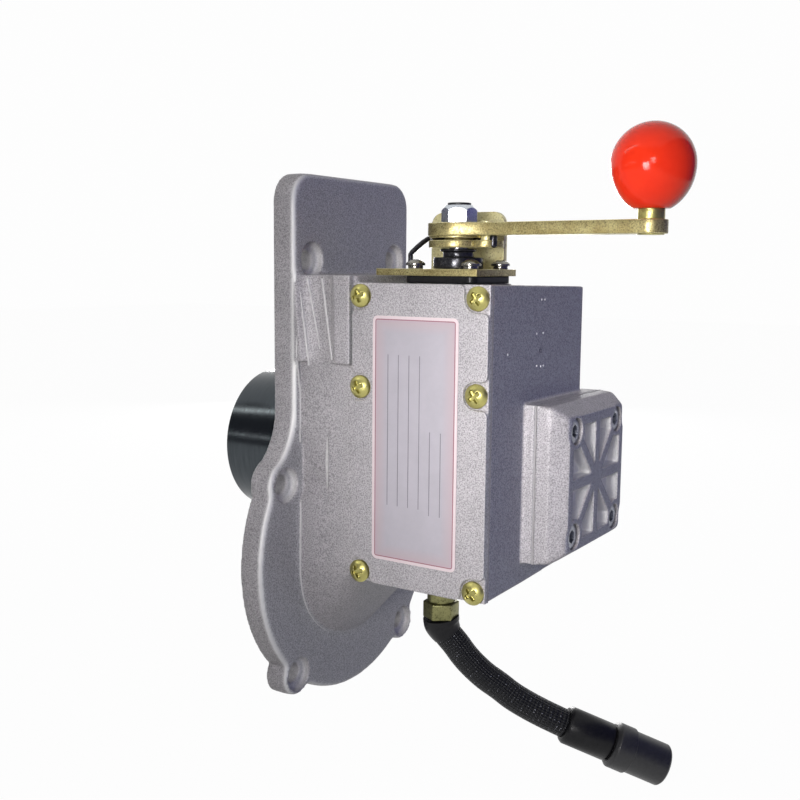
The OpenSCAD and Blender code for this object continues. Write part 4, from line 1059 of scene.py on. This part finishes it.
def cardPaint(name, glow):
    material, shader = startMaterial(name)
    shader.inputs["Base Color"].default_value = (*cardLook["colour"], 1)
    shader.inputs["Roughness"].default_value = cardLook["roughness"]
    shader.inputs["Emission Color"].default_value = (*glow, 1)
    shader.inputs["Emission Strength"].default_value = 1
    return material


def addFloor(look):
    clearSelection()
    bpy.ops.mesh.primitive_plane_add(size=look["side"], location=(0, 0, floorLevel - look["drop"]))
    floor = bpy.context.object
    floor.name = "paleFloor"
    applyPlace()
    floor.data.materials.append(litFloor(look))


def addWall(sizes):
    # dim wall round the camera's side, so that bright metal has something darker to show
    clearSelection()
    place = (*sizes["centre"], floorLevel + sizes["height"] / 2)
    bpy.ops.mesh.primitive_cylinder_add(vertices=sizes["sides"], radius=sizes["radius"],
                                        depth=sizes["height"], end_fill_type="NOTHING", location=place)
    wall = bpy.context.object
    wall.name = "dimWall"
    applyPlace()
    turn = math.radians(cameraView["turn"])
    ahead = Vector((math.sin(turn), -math.cos(turn), 0))
    pickFaces(wall, lambda face: face.normal.dot(ahead) < math.cos(math.radians(sizes["turn"])))
    bpy.ops.mesh.delete(type="FACE")
    bpy.ops.object.mode_set(mode="OBJECT")
    wall.data.materials.append(cardPaint("dimWall", sizes["glow"]))
    wall.visible_camera = False


def addBlueCard(card):
    # blue reflection on the faces turned to +X
    (y0, y1), (z0, z1) = card["y"], card["z"]
    clearSelection()
    bpy.ops.mesh.primitive_plane_add(size=1, rotation=(0, math.radians(-90), 0),
                                     location=(card["x"], (y0 + y1) / 2, (z0 + z1) / 2))
    plane = bpy.context.object
    plane.name = "blueCard"
    plane.scale = (z1 - z0, y1 - y0, 1)
    applyPlace()
    plane.data.materials.append(cardPaint("blueCard", card["glow"]))
    plane.visible_camera = False


def addWorld(look):
    world = bpy.data.worlds.new("studio")
    bpy.context.scene.world = world
    world.use_nodes = True
    soft = world.node_tree.nodes["Background"]
    soft.inputs["Color"].default_value = (*look["soft"], 1)
    soft.inputs["Strength"].default_value = look["strength"]
    white = addNode(world, "Background", {"Color": (1, 1, 1, 1), "Strength": look["seenGlow"]})
    blend = blendOf(world, seenWhite(world), soft.outputs["Background"], white.outputs["Background"])
    link(world, blend, world.node_tree.nodes["World Output"].inputs["Surface"])


# lamps: place, point aimed at, width along X and height of the lit panel, and the beam's spread in degrees
lamps = {
    "nearLamp": {"place": (0.165, -0.45, 0.085), "aim": (0.14, -0.05, 0.035), "panel": (0.12, 0.10),
                 "power": 0.172, "colour": (1.0, 0.98, 0.99), "beam": 50},
    "frontLamp": {"place": (0.52, -1.10, 0.26), "aim": (0.05, -0.03, 0.0), "panel": (0.24, 0.24),
                  "power": 2.6, "colour": (1.0, 0.98, 0.97), "beam": 180},
    "backLamp": {"place": (-0.62, 1.00, 0.08), "aim": (0.0, 0.0, 0.0), "panel": (0.60, 0.40),
                 "power": 9.0, "colour": (1.0, 0.99, 0.99), "beam": 180},
    "leftStrip": {"place": (-0.85, -0.74, 0.94), "aim": (-0.02, -0.03, 0.0), "panel": (0.90, 0.10),
                  "power": 2.0, "colour": (1.0, 1.0, 0.94), "beam": 180},
    "lowStrip": {"place": (-0.92, -1.20, 0.17), "aim": (-0.02, -0.03, 0.0), "panel": (0.90, 0.025),
                 "power": 0.55, "colour": (1.0, 1.0, 0.95), "beam": 180},
}


def addLamp(name, lamp):
    bpy.ops.object.light_add(type="AREA")
    light = bpy.context.object
    light.name = name
    light.data.shape = "RECTANGLE"
    light.data.size, light.data.size_y = lamp["panel"]
    light.data.energy = lamp["power"]
    light.data.color = lamp["colour"]
    light.data.spread = math.radians(lamp["beam"])
    place = Vector(lamp["place"])
    back = (place - Vector(lamp["aim"])).normalized()
    side = (Vector((1, 0, 0)) - back.x * back).normalized()
    standAt(light, place, side, back.cross(side), back)


addFloor(floorLook)
addWall(wallSizes)
addBlueCard(blueCard)
addWorld(worldLook)
for name, lamp in lamps.items():
    addLamp(name, lamp)
print("stage lit")
